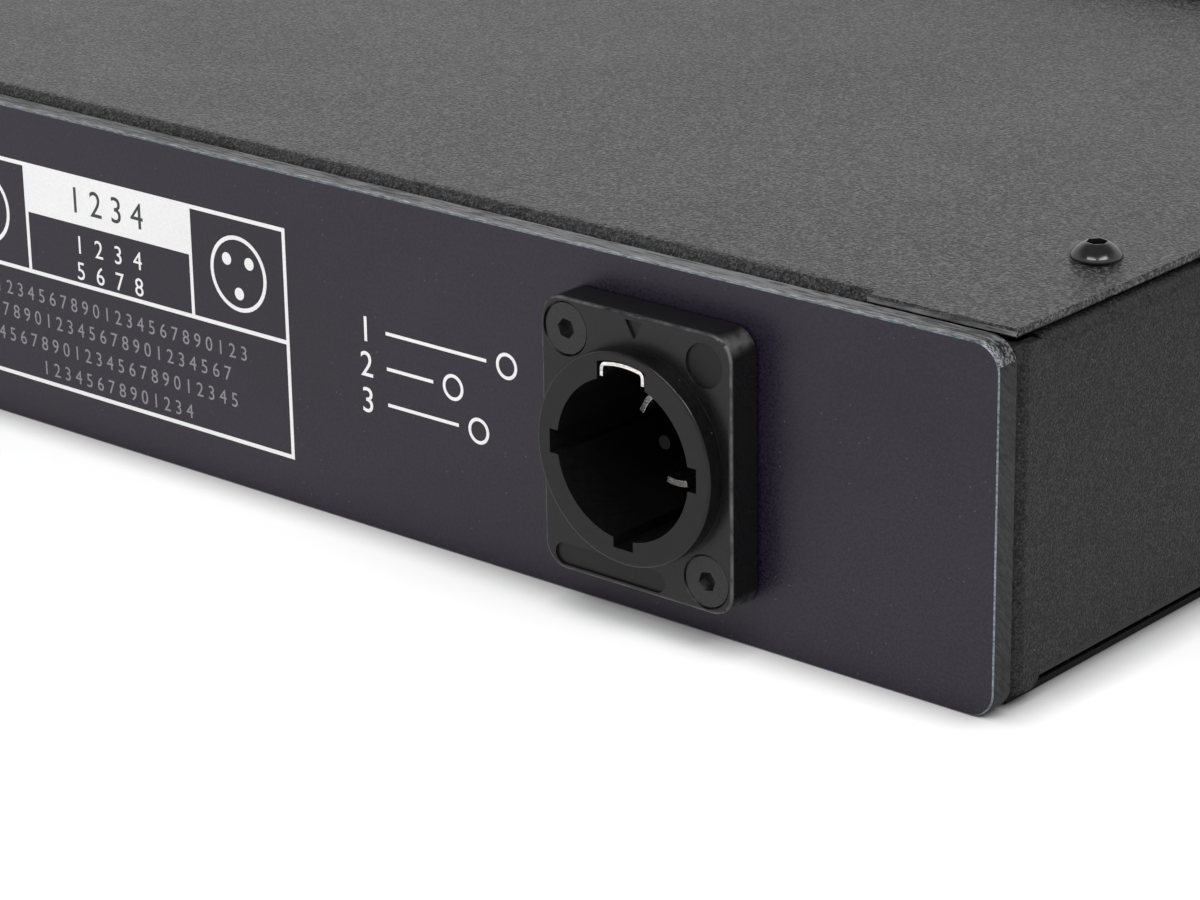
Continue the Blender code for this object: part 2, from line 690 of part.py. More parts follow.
def make_bottom_sheet():
    edge = SIDE - SHEET_INSET
    outline = rectangle(-edge, FRONT_FACE + BOTTOM_SETBACK, edge, REAR_FACE - BOTTOM_SETBACK)
    sheet = prism("bottom_sheet", outline, SHEET_LIFT, BOTTOM_TOP, "Z")
    places = corner_places(SUPPLY_X, SUPPLY_Y, SUPPLY_WIDTH, SUPPLY_DEPTH, PILLAR_INSET)
    places += corner_places(SPLITTER_X, splitter_centre_y(), SPLITTER_WIDTH, SPLITTER_DEPTH, PILLAR_INSET)
    pillars = [circle(x, y, PILLAR / 2, PILLAR_STEPS) for x, y in places]
    join(sheet, prism("pillars", pillars, BOTTOM_TOP - SHEET / 2, BOTTOM_TOP + PILLAR_HEIGHT, "Z"))
    stud = circle(EARTH_STUD_X, EARTH_STUD_Y, EARTH_STUD / 2, SMALL_STEPS)
    join(sheet, prism("earth_stud", stud, BOTTOM_TOP - SHEET / 2, BOTTOM_TOP + EARTH_STUD_HEIGHT, "Z"))
    return finished(sheet, powder_coat())


# Screws

def make_cover_screws():
    """Button heads with a hex socket, standing on the cover."""
    head, rise = BUTTON_HEAD / 2, BUTTON_HEIGHT - BUTTON_RIM
    dome = []
    for step in range(CORNER_STEPS):
        turn = math.pi / 2 * step / (CORNER_STEPS - 1)
        across = BUTTON_FLAT + (head - BUTTON_FLAT) * math.cos(turn)
        dome.append((across, BUTTON_RIM + rise * math.sin(turn)))
    profile = [(0.0, -COVER_SCREW_LENGTH), (SCREW_SHANK / 2, -COVER_SCREW_LENGTH)]
    profile += [(SCREW_SHANK / 2, 0.0), (head, 0.0)]
    profile += dome
    profile += [(0.0, BUTTON_HEIGHT)]
    first = turned("cover_screw_1", profile, "Z", SCREW_STEPS)
    key = hexagon(0.0, 0.0, HEX_KEY)
    cut(first, prism("key", key, BUTTON_HEIGHT - HEX_DEPTH, 2 * BUTTON_HEIGHT, "Z"))
    finished(first, black_steel())
    screws = [first]
    for number in range(2, 5):
        screws.append(copied(first, f"cover_screw_{number}", None))
    for screw, (x, y) in zip(screws, cover_screw_places()):
        screw.location = (x, y, COVER_TOP + SEAT)


def countersink(face):
    """Cutter for the two countersunk fixing holes of a flange."""
    rim, hole = COUNTERSINK / 2, FIXING_HOLE / 2
    profile = [(0.0, -face), (hole, -face), (hole, face - COUNTERSINK_RIM - (rim - hole))]
    profile += [(rim, face - COUNTERSINK_RIM), (rim, 2 * face), (0.0, 2 * face)]
    first = turned("countersink", profile, "Y", SCREW_STEPS)
    second = bpy.data.objects.new("countersink", first.data.copy())
    bpy.context.scene.collection.objects.link(second)
    for cutter, (x, z) in zip((first, second), fixing_places()):
        for point in cutter.data.vertices:
            point.co.x += x
            point.co.z += z
    return first, second


def make_fixing_screws(face, frame, prefix):
    """Countersunk hex socket screws in a socket's flange."""
    head, shank, top = COUNTERSUNK_HEAD / 2, SCREW_SHANK / 2, face - COUNTERSUNK_DROP
    rim = top - COUNTERSINK_RIM
    profile = [(0.0, top - FIXING_SCREW_LENGTH), (shank, top - FIXING_SCREW_LENGTH)]
    profile += [(shank, rim - (head - shank)), (head, rim), (head, top), (0.0, top)]
    first = turned(prefix + "_1", profile, "Y", SCREW_STEPS)
    key = hexagon(0.0, 0.0, HEX_KEY)
    cut(first, prism("key", key, top - HEX_DEPTH, top + HEX_DEPTH, "Y"))
    finished(first, black_steel(), frame)
    second = copied(first, prefix + "_2", frame)
    for screw, (x, z) in zip((first, second), fixing_places()):
        screw.location = (x, 0.0, z)


# Sockets, drawn about their axis with +Y out of the rear panel

def flange_body(name, face, collar, proud, length, steps):
    """Flange, raised collar and body tube of a D-size socket, still solid."""
    plate = rounded(0.0, 0.0, FLANGE_WIDTH, FLANGE_HEIGHT, FLANGE_CORNER, CORNER_STEPS)
    body = prism(name, plate, SEAT, face, "Y", MOULD_EDGE)
    ring = circle(0.0, 0.0, collar, steps)
    join(body, prism("collar", ring, face - MOULD_EDGE, face + proud, "Y", COLLAR_EDGE))
    tube = circle(0.0, 0.0, BODY_RADIUS, steps)
    join(body, prism("tube", tube, -length, face / 2, "Y"))
    return cut(body, *countersink(face))


def inlet_rear():
    """Place of the inlet bore's floor, and of the body's rear end."""
    floor = INLET_PROUD - BORE_DEPTH
    return floor, floor - INSERT_DISC + SEAT


def bore_outline():
    """The keyed bore: a circle with one wide notch above and three narrow ones."""
    narrow = math.degrees(math.asin(NOTCH_WIDTH / 2 / BORE_RADIUS))
    wide = math.degrees(math.asin(EARTH_NOTCH_WIDTH / 2 / BORE_RADIUS))
    half_narrow, half_wide = NOTCH_WIDTH / 2, EARTH_NOTCH_WIDTH / 2
    path = arc(0.0, 0.0, BORE_RADIUS, narrow, 90.0 - wide, 8)
    top = math.degrees(math.acos(half_wide / EARTH_NOTCH_RADIUS))
    path += arc(0.0, 0.0, EARTH_NOTCH_RADIUS, top, 180.0 - top, CORNER_STEPS)
    path += arc(0.0, 0.0, BORE_RADIUS, 90.0 + wide, 180.0 - narrow, 8)
    path += [(-NOTCH_RADIUS, half_narrow), (-NOTCH_RADIUS, -half_narrow)]
    path += arc(0.0, 0.0, BORE_RADIUS, 180.0 + narrow, 270.0 - narrow, 10)
    path += [(-half_narrow, -NOTCH_RADIUS), (half_narrow, -NOTCH_RADIUS)]
    path += arc(0.0, 0.0, BORE_RADIUS, 270.0 + narrow, 360.0 - narrow, 10)
    path += [(NOTCH_RADIUS, -half_narrow), (NOTCH_RADIUS, half_narrow)]
    return path


def make_inlet_housing(frame):
    floor, rear = inlet_rear()
    housing = flange_body("inlet_housing", INLET_FACE, COLLAR_RADIUS, COLLAR_PROUD, -rear, INLET_STEPS)
    cut(housing, prism("bore", bore_outline(), rear - SHEET, INLET_PROUD + SHEET, "Y"))
    low, high = INLET_FACE - RECESS_DEPTH, INLET_FACE + RECESS_DEPTH
    arrow = [(-ARROW_WIDTH / 2, ARROW_TOP), (ARROW_WIDTH / 2, ARROW_TOP), (0.0, ARROW_TOP - ARROW_HEIGHT)]
    button = circle(-FIXING_X, FIXING_Z, BUTTON_RECESS / 2, SCREW_STEPS)
    oval = slot(OVAL_X, OVAL_Z, OVAL_LENGTH, OVAL_HEIGHT, CORNER_STEPS)
    cut(housing, prism("recesses", [arrow, button, oval], low, high, "Y"))
    return finished(housing, black_plastic(), frame)


def blade_span(start, margin):
    """Angles of a blade, opened by a margin given as a length on its ring."""
    extra = math.degrees(margin / BLADE_INNER)
    return start - extra, start + BLADE_SPAN + extra


def make_inlet_insert(frame):
    """Floor of the bore with its centre post, closed behind by a cap."""
    floor, rear = inlet_rear()
    back = rear - SEAT - INSERT_CAP
    disc = circle(0.0, 0.0, BORE_RADIUS - SEAT, INLET_STEPS)
    insert = prism("inlet_insert", disc, back, floor, "Y")
    cap = circle(0.0, 0.0, INSERT_CAP_RADIUS, INLET_STEPS)
    join(insert, prism("cap", cap, back, rear - SEAT, "Y"))
    post = circle(0.0, 0.0, POST_RADIUS, SMALL_STEPS)
    join(insert, prism("post", post, floor - INSERT_DISC / 2, INLET_PROUD - POST_DEPTH, "Y"))
    for start in (LINE_BLADE_START, NEUTRAL_BLADE_START):
        low, high = blade_span(start, SEAT)
        gap = sector(BLADE_INNER - SEAT, BLADE_INNER + BLADE_SHEET + SEAT, low, high, 6)
        cut(insert, prism("blade_gap", gap, back - SHEET, floor + SHEET, "Y"))
    top = EARTH_NOTCH_RADIUS
    notch = rectangle(-EARTH_NOTCH_WIDTH / 2, top - EARTH_DROP - 2 * SEAT, EARTH_NOTCH_WIDTH / 2, top)
    cut(insert, prism("earth_gap", notch, back - SHEET, rear + SHEET, "Y"))
    return finished(insert, black_plastic(), frame)


def make_inlet_blade(name, start, frame):
    """Curved blade through the insert, with a flat tab behind it."""
    floor, rear = inlet_rear()
    back = rear - SEAT - INSERT_CAP
    low, high = blade_span(start, 0.0)
    outline = sector(BLADE_INNER, BLADE_INNER + BLADE_SHEET, low, high, 6)
    blade = prism(name, outline, back - 2 * SHEET, INLET_PROUD - BLADE_DEPTH, "Y")
    middle = math.radians((low + high) / 2)
    ring = BLADE_INNER + BLADE_SHEET / 2
    across, up = ring * math.cos(middle), ring * math.sin(middle)
    tab = centred(across, up, TAB_WIDTH, TAB_SHEET)
    join(blade, prism("tab", tab, back - SHEET - TAB_LENGTH, back - SHEET, "Y"))
    return finished(blade, bright_metal(), frame)


def make_inlet_earth(frame):
    """Arched strip under the wide notch, its sides bent down, with a flat tab behind the insert."""
    floor, rear = inlet_rear()
    back = rear - SEAT - INSERT_CAP
    half, top = EARTH_WIDTH / 2, EARTH_NOTCH_RADIUS - EARTH_GAP
    foot, sheet, bend = top - EARTH_DROP, EARTH_SHEET, 2 * EARTH_SHEET
    across = half - bend
    up = math.sqrt((top - bend) ** 2 - across ** 2)
    turn = math.degrees(math.atan2(up, across))
    path = [(half, foot)]
    path += arc(across, up, bend, 0.0, turn, 3)
    path += arc(0.0, 0.0, top, turn, 180.0 - turn, CORNER_STEPS)[1:-1]
    path += arc(-across, up, bend, 180.0 - turn, 180.0, 3)
    path += [(-half, foot), (sheet - half, foot)]
    path += arc(-across, up, bend - sheet, 180.0, 180.0 - turn, 3)
    path += arc(0.0, 0.0, top - sheet, 180.0 - turn, turn, CORNER_STEPS)[1:-1]
    path += arc(across, up, bend - sheet, turn, 0.0, 3)
    path += [(half - sheet, foot)]
    strip = prism("inlet_earth_contact", path, back - 2 * SHEET, INLET_PROUD - EARTH_RECESS, "Y")
    tab = rectangle(-TAB_WIDTH / 2, top - TAB_SHEET, TAB_WIDTH / 2, top)
    join(strip, prism("tab", tab, back - SHEET - TAB_LENGTH, back - SHEET, "Y"))
    return finished(strip, bright_metal(), frame)


def make_inlet():
    frame = frame_at("inlet_frame", INLET_X, REAR_FACE, SOCKET_Z)
    make_inlet_housing(frame)
    make_inlet_insert(frame)
    make_inlet_blade("inlet_line_contact", LINE_BLADE_START, frame)
    make_inlet_blade("inlet_neutral_contact", NEUTRAL_BLADE_START, frame)
    make_inlet_earth(frame)
    make_fixing_screws(INLET_FACE, frame, "inlet_screw")


def pin_places():
    """Three poles, two above and one below."""
    return [
        (PIN_CIRCLE * math.cos(math.radians(angle)), PIN_CIRCLE * math.sin(math.radians(angle)))
        for angle in (40.0, 140.0, 270.0)
    ]


def signal_shell(name, bore_radius):
    """Flanged shell of a signal socket, open from end to end."""
    shell = flange_body(name, SIGNAL_FACE, SIGNAL_COLLAR, SIGNAL_COLLAR_PROUD, SIGNAL_BODY, SOCKET_STEPS)
    bore = circle(0.0, 0.0, bore_radius, SOCKET_STEPS)
    high = SIGNAL_FACE + SIGNAL_COLLAR_PROUD + SHEET
    return cut(shell, prism("bore", bore, -SIGNAL_BODY - SHEET, high, "Y"))


def make_input_socket():
    frame = frame_at("input_frame", INPUT_X, REAR_FACE, SOCKET_Z)
    shell = signal_shell("input_shell", MALE_BORE)
    finished(shell, powder_coat(), frame)
    disc = circle(0.0, 0.0, MALE_BORE - SEAT, SOCKET_STEPS)
    insert = prism("input_insert", disc, -SIGNAL_BODY, -MALE_FLOOR, "Y")
    holes = [circle(x, z, PIN_RADIUS + SEAT, SMALL_STEPS) for x, z in pin_places()]
    cut(insert, prism("pin_holes", holes, -SIGNAL_BODY - SHEET, -MALE_FLOOR + SHEET, "Y"))
    finished(insert, black_plastic(), frame)
    tip = [(0.0, PIN_TIP), (PIN_RADIUS / 2, PIN_TIP), (PIN_RADIUS, PIN_TIP - PIN_RADIUS / 2)]
    profile = [(0.0, -PIN_TAIL), (PIN_RADIUS, -PIN_TAIL)] + tip[::-1]
    first = finished(turned("input_pin_1", profile, "Y", SMALL_STEPS), bright_metal(), frame)
    pins = [first] + [copied(first, f"input_pin_{number}", frame) for number in (2, 3)]
    for pin, (x, z) in zip(pins, pin_places()):
        pin.location = (x, 0.0, z)


def latch_outline():
    """The release tab across its pivot pin: distance outward, height, both from the pin."""
    arm_top = LATCH_BOTTOM + LATCH_ARM
    back = LATCH_FACE - LATCH_TAB
    points = [
        (LATCH_FACE, LATCH_BOTTOM),
        (LATCH_FACE, LATCH_TOP),
        (LATCH_PIVOT_Y - LATCH_ARM, LATCH_TOP),
        (LATCH_PIVOT_Y - LATCH_ARM, LATCH_PIVOT_Z - LATCH_ARM),
        (back, LATCH_PIVOT_Z - LATCH_ARM),
        (back, arm_top),
        (-LATCH_REACH, arm_top),
        (-LATCH_REACH, LATCH_BOTTOM - LATCH_HOOK),
        (LATCH_ARM - LATCH_REACH, LATCH_BOTTOM - LATCH_HOOK),
        (LATCH_HOOK + LATCH_ARM - LATCH_REACH, LATCH_BOTTOM),
    ]
    return [(u - LATCH_PIVOT_Y, v - LATCH_PIVOT_Z) for u, v in points]


def latch_pocket():
    """Cutters for the tab's window in the flange and the arm's slot behind it."""
    half = LATCH_WIDTH / 2 + SEAT
    low = FEMALE_BORE - 2 * SEAT
    window = rectangle(-half, low, half, LATCH_TOP + LATCH_ARM / 2)
    channel = rectangle(-half, low, half, LATCH_BOTTOM + LATCH_ARM + LATCH_RISE + SEAT)
    front = prism("window", window, 0.0, 2 * LATCH_FACE, "Y")
    behind = prism("slot", channel, -LATCH_REACH - LATCH_HOOK, SEAT + MOULD_EDGE, "Y")
    return front, behind


def make_output_sockets():
    """Female sockets, alike, each with its sprung release tab."""
    frames = [
        frame_at(f"output_frame_{number}", x, REAR_FACE, SOCKET_Z)
        for number, x in enumerate(OUTPUT_PLACES, 1)
    ]
    shell = signal_shell("output_shell_1", FEMALE_BORE)
    cut(shell, *latch_pocket())
    finished(shell, powder_coat(), frames[0])
    core = circle(0.0, 0.0, FEMALE_INSERT, SOCKET_STEPS)
    insert = prism("output_insert_1", core, -FEMALE_FLOOR - SHEET, FEMALE_FACE, "Y", EDGE_BREAK)
    disc = circle(0.0, 0.0, FEMALE_BORE - SEAT, SOCKET_STEPS)
    join(insert, prism("disc", disc, -SIGNAL_BODY + SEAT, -FEMALE_FLOOR, "Y"))
    holes = [circle(x, z, CONTACT_HOLE, SMALL_STEPS) for x, z in pin_places()]
    key = rectangle(-KEY_WIDTH / 2, FEMALE_INSERT - KEY_DEPTH, KEY_WIDTH / 2, 2 * FEMALE_INSERT)
    cut(insert, prism("sockets", holes + [key], SHEET - FEMALE_FLOOR, FEMALE_FACE + SHEET, "Y"))
    finished(insert, black_plastic(), frames[0])
    latch = prism("output_latch_1", latch_outline(), -LATCH_WIDTH / 2, LATCH_WIDTH / 2, "X")
    latch.location = (0.0, LATCH_PIVOT_Y, LATCH_PIVOT_Z)
    finished(latch, bright_metal(), frames[0])
    for number, frame in enumerate(frames[1:], 2):
        copied(shell, f"output_shell_{number}", frame)
        copied(insert, f"output_insert_{number}", frame)
        copied(latch, f"output_latch_{number}", frame)


# Front

def make_switch():
    frame = frame_at("switch_frame", SWITCH_X, FRONT_FACE, MIDDLE_Z, math.pi)
    bezel = rounded(0.0, 0.0, BEZEL_WIDTH, BEZEL_HEIGHT, FRONT_CORNER, 3)
    body = prism("switch_body", bezel, SEAT, BEZEL_PROUD, "Y", MOULD_EDGE)
    block = centred(0.0, 0.0, SWITCH_BODY_WIDTH, SWITCH_BODY_HEIGHT)
    join(body, prism("block", block, -SWITCH_BODY_DEPTH, BEZEL_PROUD / 2, "Y"))
    cavity = centred(0.0, 0.0, CAVITY_WIDTH, CAVITY_HEIGHT)
    cut(body, prism("cavity", cavity, -CAVITY_DEPTH, 2 * BEZEL_PROUD, "Y"))
    finished(body, black_plastic(), frame)
    half = CAVITY_WIDTH / 2 - SEAT
    rocker = prism("switch_rocker", rocker_outline(), -half, half, "X")
    rocker.location = (0.0, -ROCKER_PIVOT, 0.0)
    rocker.rotation_euler.x = math.radians(ROCKER_TILT)
    finished(rocker, black_plastic(), frame)
    for number, height in enumerate((SWITCH_TERMINAL_Z, -SWITCH_TERMINAL_Z), 1):
        outline = centred(0.0, height, TAB_WIDTH, TAB_SHEET)
        near = -SWITCH_BODY_DEPTH - SEAT
        terminal = prism(f"switch_terminal_{number}", outline, near - TAB_LENGTH, near, "Y")
        finished(terminal, bright_metal(), frame)


def make_lamps():
    """Domed lamps standing on their board behind the front panel."""
    base = FRONT_BACK + LAMP_PILLAR_HEIGHT
    rim = LAMP_RADIUS + LAMP_RIM
    profile = [(0.0, 0.0), (rim, 0.0), (rim, 2 * LAMP_RIM), (LAMP_RADIUS, 2 * LAMP_RIM)]
    profile += arc(0.0, LAMP_BODY, LAMP_RADIUS, 0.0, 90.0, 3)[:-1]
    profile += [(0.0, LAMP_BODY + LAMP_RADIUS)]
    first = None
    for name, x in LAMP_PLACES.items():
        frame = frame_at(name + "_frame", x, base, MIDDLE_Z, math.pi)
        if first is None:
            first = finished(turned(name, profile, "Y", SMALL_STEPS), lamp_lens(), frame)
        else:
            copied(first, name, frame)
    places = list(LAMP_PLACES.values())
    low, high = min(places) - LAMP_BOARD_END, max(places) + LAMP_BOARD_END
    half = LAMP_BOARD_HEIGHT / 2
    outline = rectangle(low, MIDDLE_Z - half, high, MIDDLE_Z + half)
    board = prism("lamp_board", outline, base + SEAT, base + SEAT + BOARD, "Y")
    finished(board, board_green())


# Inside

def block_on_board(name, x, y, size, finish):
    width, depth, height = size
    low = BOARD_TOP + SEAT
    block = prism(name, centred(x, y, width, depth), low, low + height, "Z", MOULD_EDGE)
    return finished(block, finish)


def make_supply():
    outline = centred(SUPPLY_X, SUPPLY_Y, SUPPLY_WIDTH, SUPPLY_DEPTH)
    finished(prism("supply_board", outline, BOARD_BOTTOM, BOARD_TOP, "Z"), board_green())
    block_on_board("supply_transformer", SUPPLY_X, SUPPLY_Y, TRANSFORMER_SIZE, relay_case())
    capacitor_x = SUPPLY_X + SUPPLY_WIDTH / 2 - 2 * CAPACITOR_RADIUS
    can = circle(capacitor_x, SUPPLY_Y, CAPACITOR_RADIUS, SCREW_STEPS)
    low = BOARD_TOP + SEAT
    finished(prism("supply_capacitor", can, low, low + CAPACITOR_HEIGHT, "Z", MOULD_EDGE), relay_case())
    terminal_y = SUPPLY_Y + SUPPLY_DEPTH / 2 - TERMINAL_SIZE[1]
    block_on_board("supply_terminal", SUPPLY_X, terminal_y, TERMINAL_SIZE, board_green())


def make_splitter():
    outline = centred(SPLITTER_X, splitter_centre_y(), SPLITTER_WIDTH, SPLITTER_DEPTH)
    finished(prism("splitter_board", outline, BOARD_BOTTOM, BOARD_TOP, "Z"), board_green())
    size = (RELAY_WIDTH, RELAY_LENGTH, RELAY_HEIGHT)
    block_on_board("relay_input", INPUT_X, RELAY_Y, size, relay_case())
    for number, x in enumerate(OUTPUT_PLACES, 1):
        block_on_board(f"relay_{number}", x, RELAY_Y, size, relay_case())


def make_earth_nut():
    outline = hexagon(EARTH_STUD_X, EARTH_STUD_Y, EARTH_NUT)
    low = BOTTOM_TOP + SEAT
    nut = prism("earth_nut", outline, low, low + EARTH_NUT_HEIGHT, "Z")
    bore = circle(EARTH_STUD_X, EARTH_STUD_Y, EARTH_STUD / 2 + SEAT, SMALL_STEPS)
    cut(nut, prism("bore", bore, low - SHEET, low + EARTH_NUT_HEIGHT + SHEET, "Z"))
    finished(nut, bright_metal())


def rounded_path(points):
    """Replaces each inner corner of a path by a curve that starts and ends a bend's reach from it."""
    corners = [Vector(point) for point in points]
    path = [corners[0]]
    for before, corner, after in zip(corners, corners[1:], corners[2:]):
        start = corner + (before - corner).normalized() * LEAD_BEND
        end = corner + (after - corner).normalized() * LEAD_BEND
        for step in range(CORNER_STEPS + 1):
            share = step / CORNER_STEPS
            path.append(start.lerp(corner, share).lerp(corner.lerp(end, share), share))
    return path + [corners[-1]]


def make_lead(name, points, finish):
    """A round lead along a path."""
    path = rounded_path(points)
    steps = [(after - before).normalized() for before, after in zip(path, path[1:])]
    turns = [(first + second).normalized() for first, second in zip(steps, steps[1:])]
    ways = [steps[0]] + turns + [steps[-1]]
    shape = bmesh.new()
    side = ways[0].orthogonal()
    rings = []
    for point, way in zip(path, ways):
        side = (side - way * side.dot(way)).normalized()
        other = way.cross(side)
        ring = []
        for u, v in circle(0.0, 0.0, LEAD / 2, LEAD_STEPS):
            ring.append(shape.verts.new(point + side * u + other * v))
        rings.append(ring)
    for first, second in zip(rings, rings[1:]):
        for index in range(LEAD_STEPS):
            shape.faces.new((first[index], first[index - 1], second[index - 1], second[index]))
    shape.faces.new(rings[0])
    shape.faces.new(rings[-1][::-1])
    return finished(as_object(shape, name), finish)


def make_leads():
    """Mains leads between the inlet's tabs, the switch, the supply's terminals and the earth stud."""
    floor, rear = inlet_rear()
    start = REAR_FACE + rear - SEAT - INSERT_CAP - SHEET - TAB_LENGTH - SEAT
    ring = BLADE_INNER + BLADE_SHEET / 2
    line = math.radians(LINE_BLADE_START + BLADE_SPAN / 2)
    line_x, line_z = INLET_X + ring * math.cos(line), SOCKET_Z + ring * math.sin(line)
    neutral = math.radians(NEUTRAL_BLADE_START + BLADE_SPAN / 2)
    neutral_x, neutral_z = INLET_X + ring * math.cos(neutral), SOCKET_Z + ring * math.sin(neutral)
    earth_z = SOCKET_Z + EARTH_NOTCH_RADIUS - EARTH_GAP - TAB_SHEET / 2
    switch_end = FRONT_FACE + SWITCH_BODY_DEPTH + TAB_LENGTH + 2 * SEAT
    high, low = MIDDLE_Z + SWITCH_TERMINAL_Z, MIDDLE_Z - SWITCH_TERMINAL_Z
    side_run = SUPPLY_X - SUPPLY_WIDTH / 2 + LEAD_CLEARANCE
    block_end = SUPPLY_Y + SUPPLY_DEPTH / 2 - TERMINAL_SIZE[1] / 2 + SEAT
    entry_z = BOARD_TOP + SEAT + TERMINAL_SIZE[2] / 2
    entry = TERMINAL_SIZE[0] / 4
    run = 2 * LEAD_BEND
    approach = LEAD_BEND + LEAD / 2
    make_lead("lead_live", [
        (line_x, start, line_z),
        (line_x, start - run, line_z),
        (side_run - LEAD, start - 2 * run, high),
        (side_run - LEAD, switch_end + 2 * run, high),
        (SWITCH_X, switch_end + run, high),
        (SWITCH_X, switch_end, high),
    ], insulation("lead_brown", (0.13, 0.05, 0.02)))
    make_lead("lead_switched", [
        (SWITCH_X, switch_end, low),
        (SWITCH_X, switch_end + run, low),
        (side_run, switch_end + 2 * run, low),
        (side_run, block_end, low),
        (side_run + run, block_end + approach, entry_z),
        (SUPPLY_X - entry, block_end + approach, entry_z),
        (SUPPLY_X - entry, block_end, entry_z),
    ], insulation("lead_brown", (0.13, 0.05, 0.02)))
    make_lead("lead_neutral", [
        (neutral_x, start, neutral_z),
        (neutral_x, start - run, neutral_z),
        (SUPPLY_X + entry, block_end + approach, entry_z),
        (SUPPLY_X + entry, block_end, entry_z),
    ], insulation("lead_blue", (0.02, 0.10, 0.35)))
    stud_side = EARTH_STUD_X - EARTH_STUD / 2 - SEAT - LEAD / 2
    nut_top = BOTTOM_TOP + SEAT + EARTH_NUT_HEIGHT
    make_lead("lead_earth", [
        (INLET_X, start, earth_z),
        (INLET_X, start - run, earth_z),
        (stud_side - run, start - run, earth_z),
        (stud_side, EARTH_STUD_Y, earth_z - run),
        (stud_side, EARTH_STUD_Y, nut_top + SEAT),
    ], insulation("lead_green", (0.10, 0.35, 0.05)))


clear_scene()
make_rear_panel()
make_front_panel()
make_side_channel("side_channel_right", -1)
make_side_channel("side_channel_left", 1)
make_top_cover()
make_bottom_sheet()
make_cover_screws()
make_inlet()
make_input_socket()
make_output_sockets()
make_switch()
make_lamps()
make_supply()
make_splitter()
make_earth_nut()
make_leads()
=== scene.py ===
# %% [markdown]
# A rack-mounted signal splitter, seen from behind over one rear corner.
#
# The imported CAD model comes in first, as a fixed frame. It already has the right sizes and places, so
# every piece that is modelled below is put where the CAD says and needs no fitting. What the CAD lacks
# is the fine work: soft edges, screws with sockets, printing, and surfaces that look like powder coat,
# anodised aluminium and moulded plastic.

# %% The frame
import json
import math

import bmesh
import bpy
from mathutils import Matrix, Vector

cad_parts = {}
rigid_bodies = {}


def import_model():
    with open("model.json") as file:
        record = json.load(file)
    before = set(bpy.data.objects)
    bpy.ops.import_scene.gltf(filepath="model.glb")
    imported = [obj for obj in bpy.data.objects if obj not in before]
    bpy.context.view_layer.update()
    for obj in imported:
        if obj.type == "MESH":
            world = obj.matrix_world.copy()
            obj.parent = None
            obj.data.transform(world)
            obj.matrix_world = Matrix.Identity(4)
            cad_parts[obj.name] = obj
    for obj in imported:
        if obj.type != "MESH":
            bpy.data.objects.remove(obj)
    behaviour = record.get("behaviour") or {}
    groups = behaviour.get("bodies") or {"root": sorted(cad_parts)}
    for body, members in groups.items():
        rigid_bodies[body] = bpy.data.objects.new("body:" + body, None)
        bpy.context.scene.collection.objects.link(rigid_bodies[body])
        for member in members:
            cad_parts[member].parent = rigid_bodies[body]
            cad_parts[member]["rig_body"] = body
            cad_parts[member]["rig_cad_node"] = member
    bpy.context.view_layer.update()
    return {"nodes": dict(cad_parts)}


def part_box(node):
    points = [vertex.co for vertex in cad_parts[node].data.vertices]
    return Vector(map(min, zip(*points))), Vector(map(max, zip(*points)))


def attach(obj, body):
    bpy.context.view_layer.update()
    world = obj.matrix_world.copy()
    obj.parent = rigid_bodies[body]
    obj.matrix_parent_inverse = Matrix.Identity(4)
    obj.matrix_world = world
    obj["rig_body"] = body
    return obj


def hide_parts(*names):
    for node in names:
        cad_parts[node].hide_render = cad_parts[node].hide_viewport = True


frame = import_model()

# %% [markdown]
# All lengths are in metres, and the object is small, so sizes are written in millimetres and
# multiplied by MM. The sockets all lie on one height of the rear panel, so their axes are known once the
# panel's face and the sockets' places along it are. The places are read from the CAD nodes' boxes.

# %% Places that everything uses
MM = 0.001
CHASSIS = "chassis"


def middle(node):
    """The centre of a CAD node's box."""
    low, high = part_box(node)
    return (low + high) / 2


PANEL_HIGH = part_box("rear_panel")[1]
REAR_FACE = PANEL_HIGH.y
PANEL_THICKNESS = 3.0 * MM
REAR_BACK = REAR_FACE - PANEL_THICKNESS
FRONT_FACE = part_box("front_panel")[0].y
INLET = Vector((middle("inlet_housing").x, REAR_FACE, middle("inlet_housing").z))
INPUT = Vector((middle("input_shell").x, REAR_FACE, INLET.z))
OUTPUTS = [Vector((middle(f"output_shell_{n}").x, REAR_FACE, INLET.z)) for n in (1, 2, 3, 4)]
# Each socket has two fixing screws, at opposite corners of its flange.
FIXINGS = [Vector((9.5 * MM, 0, 12.0 * MM)), Vector((-9.5 * MM, 0, -12.0 * MM))]
print("rear face at", round(REAR_FACE / MM, 2), "mm, inlet at", [round(v / MM, 1) for v in INLET])

# %% [markdown]
# The camera stands behind the unit, off its right-hand end, and looks down at the corner. Its place,
# direction, slight roll and lens were worked out from the straight edges of the panel and the known size
# of the inlet's flange. It is made before the pieces.

# %% Camera
AZIMUTH = math.radians(41.063)
ELEVATION = math.radians(20.404)
ROLL = math.radians(-0.997)
FOCAL_PIXELS = 3923.171
PHOTO_WIDTH = 1200.0
SENSOR_WIDTH = 36.0
CAMERA_PLACE = (-422.65 * MM, REAR_FACE + 297.83 * MM, 164.33 * MM)

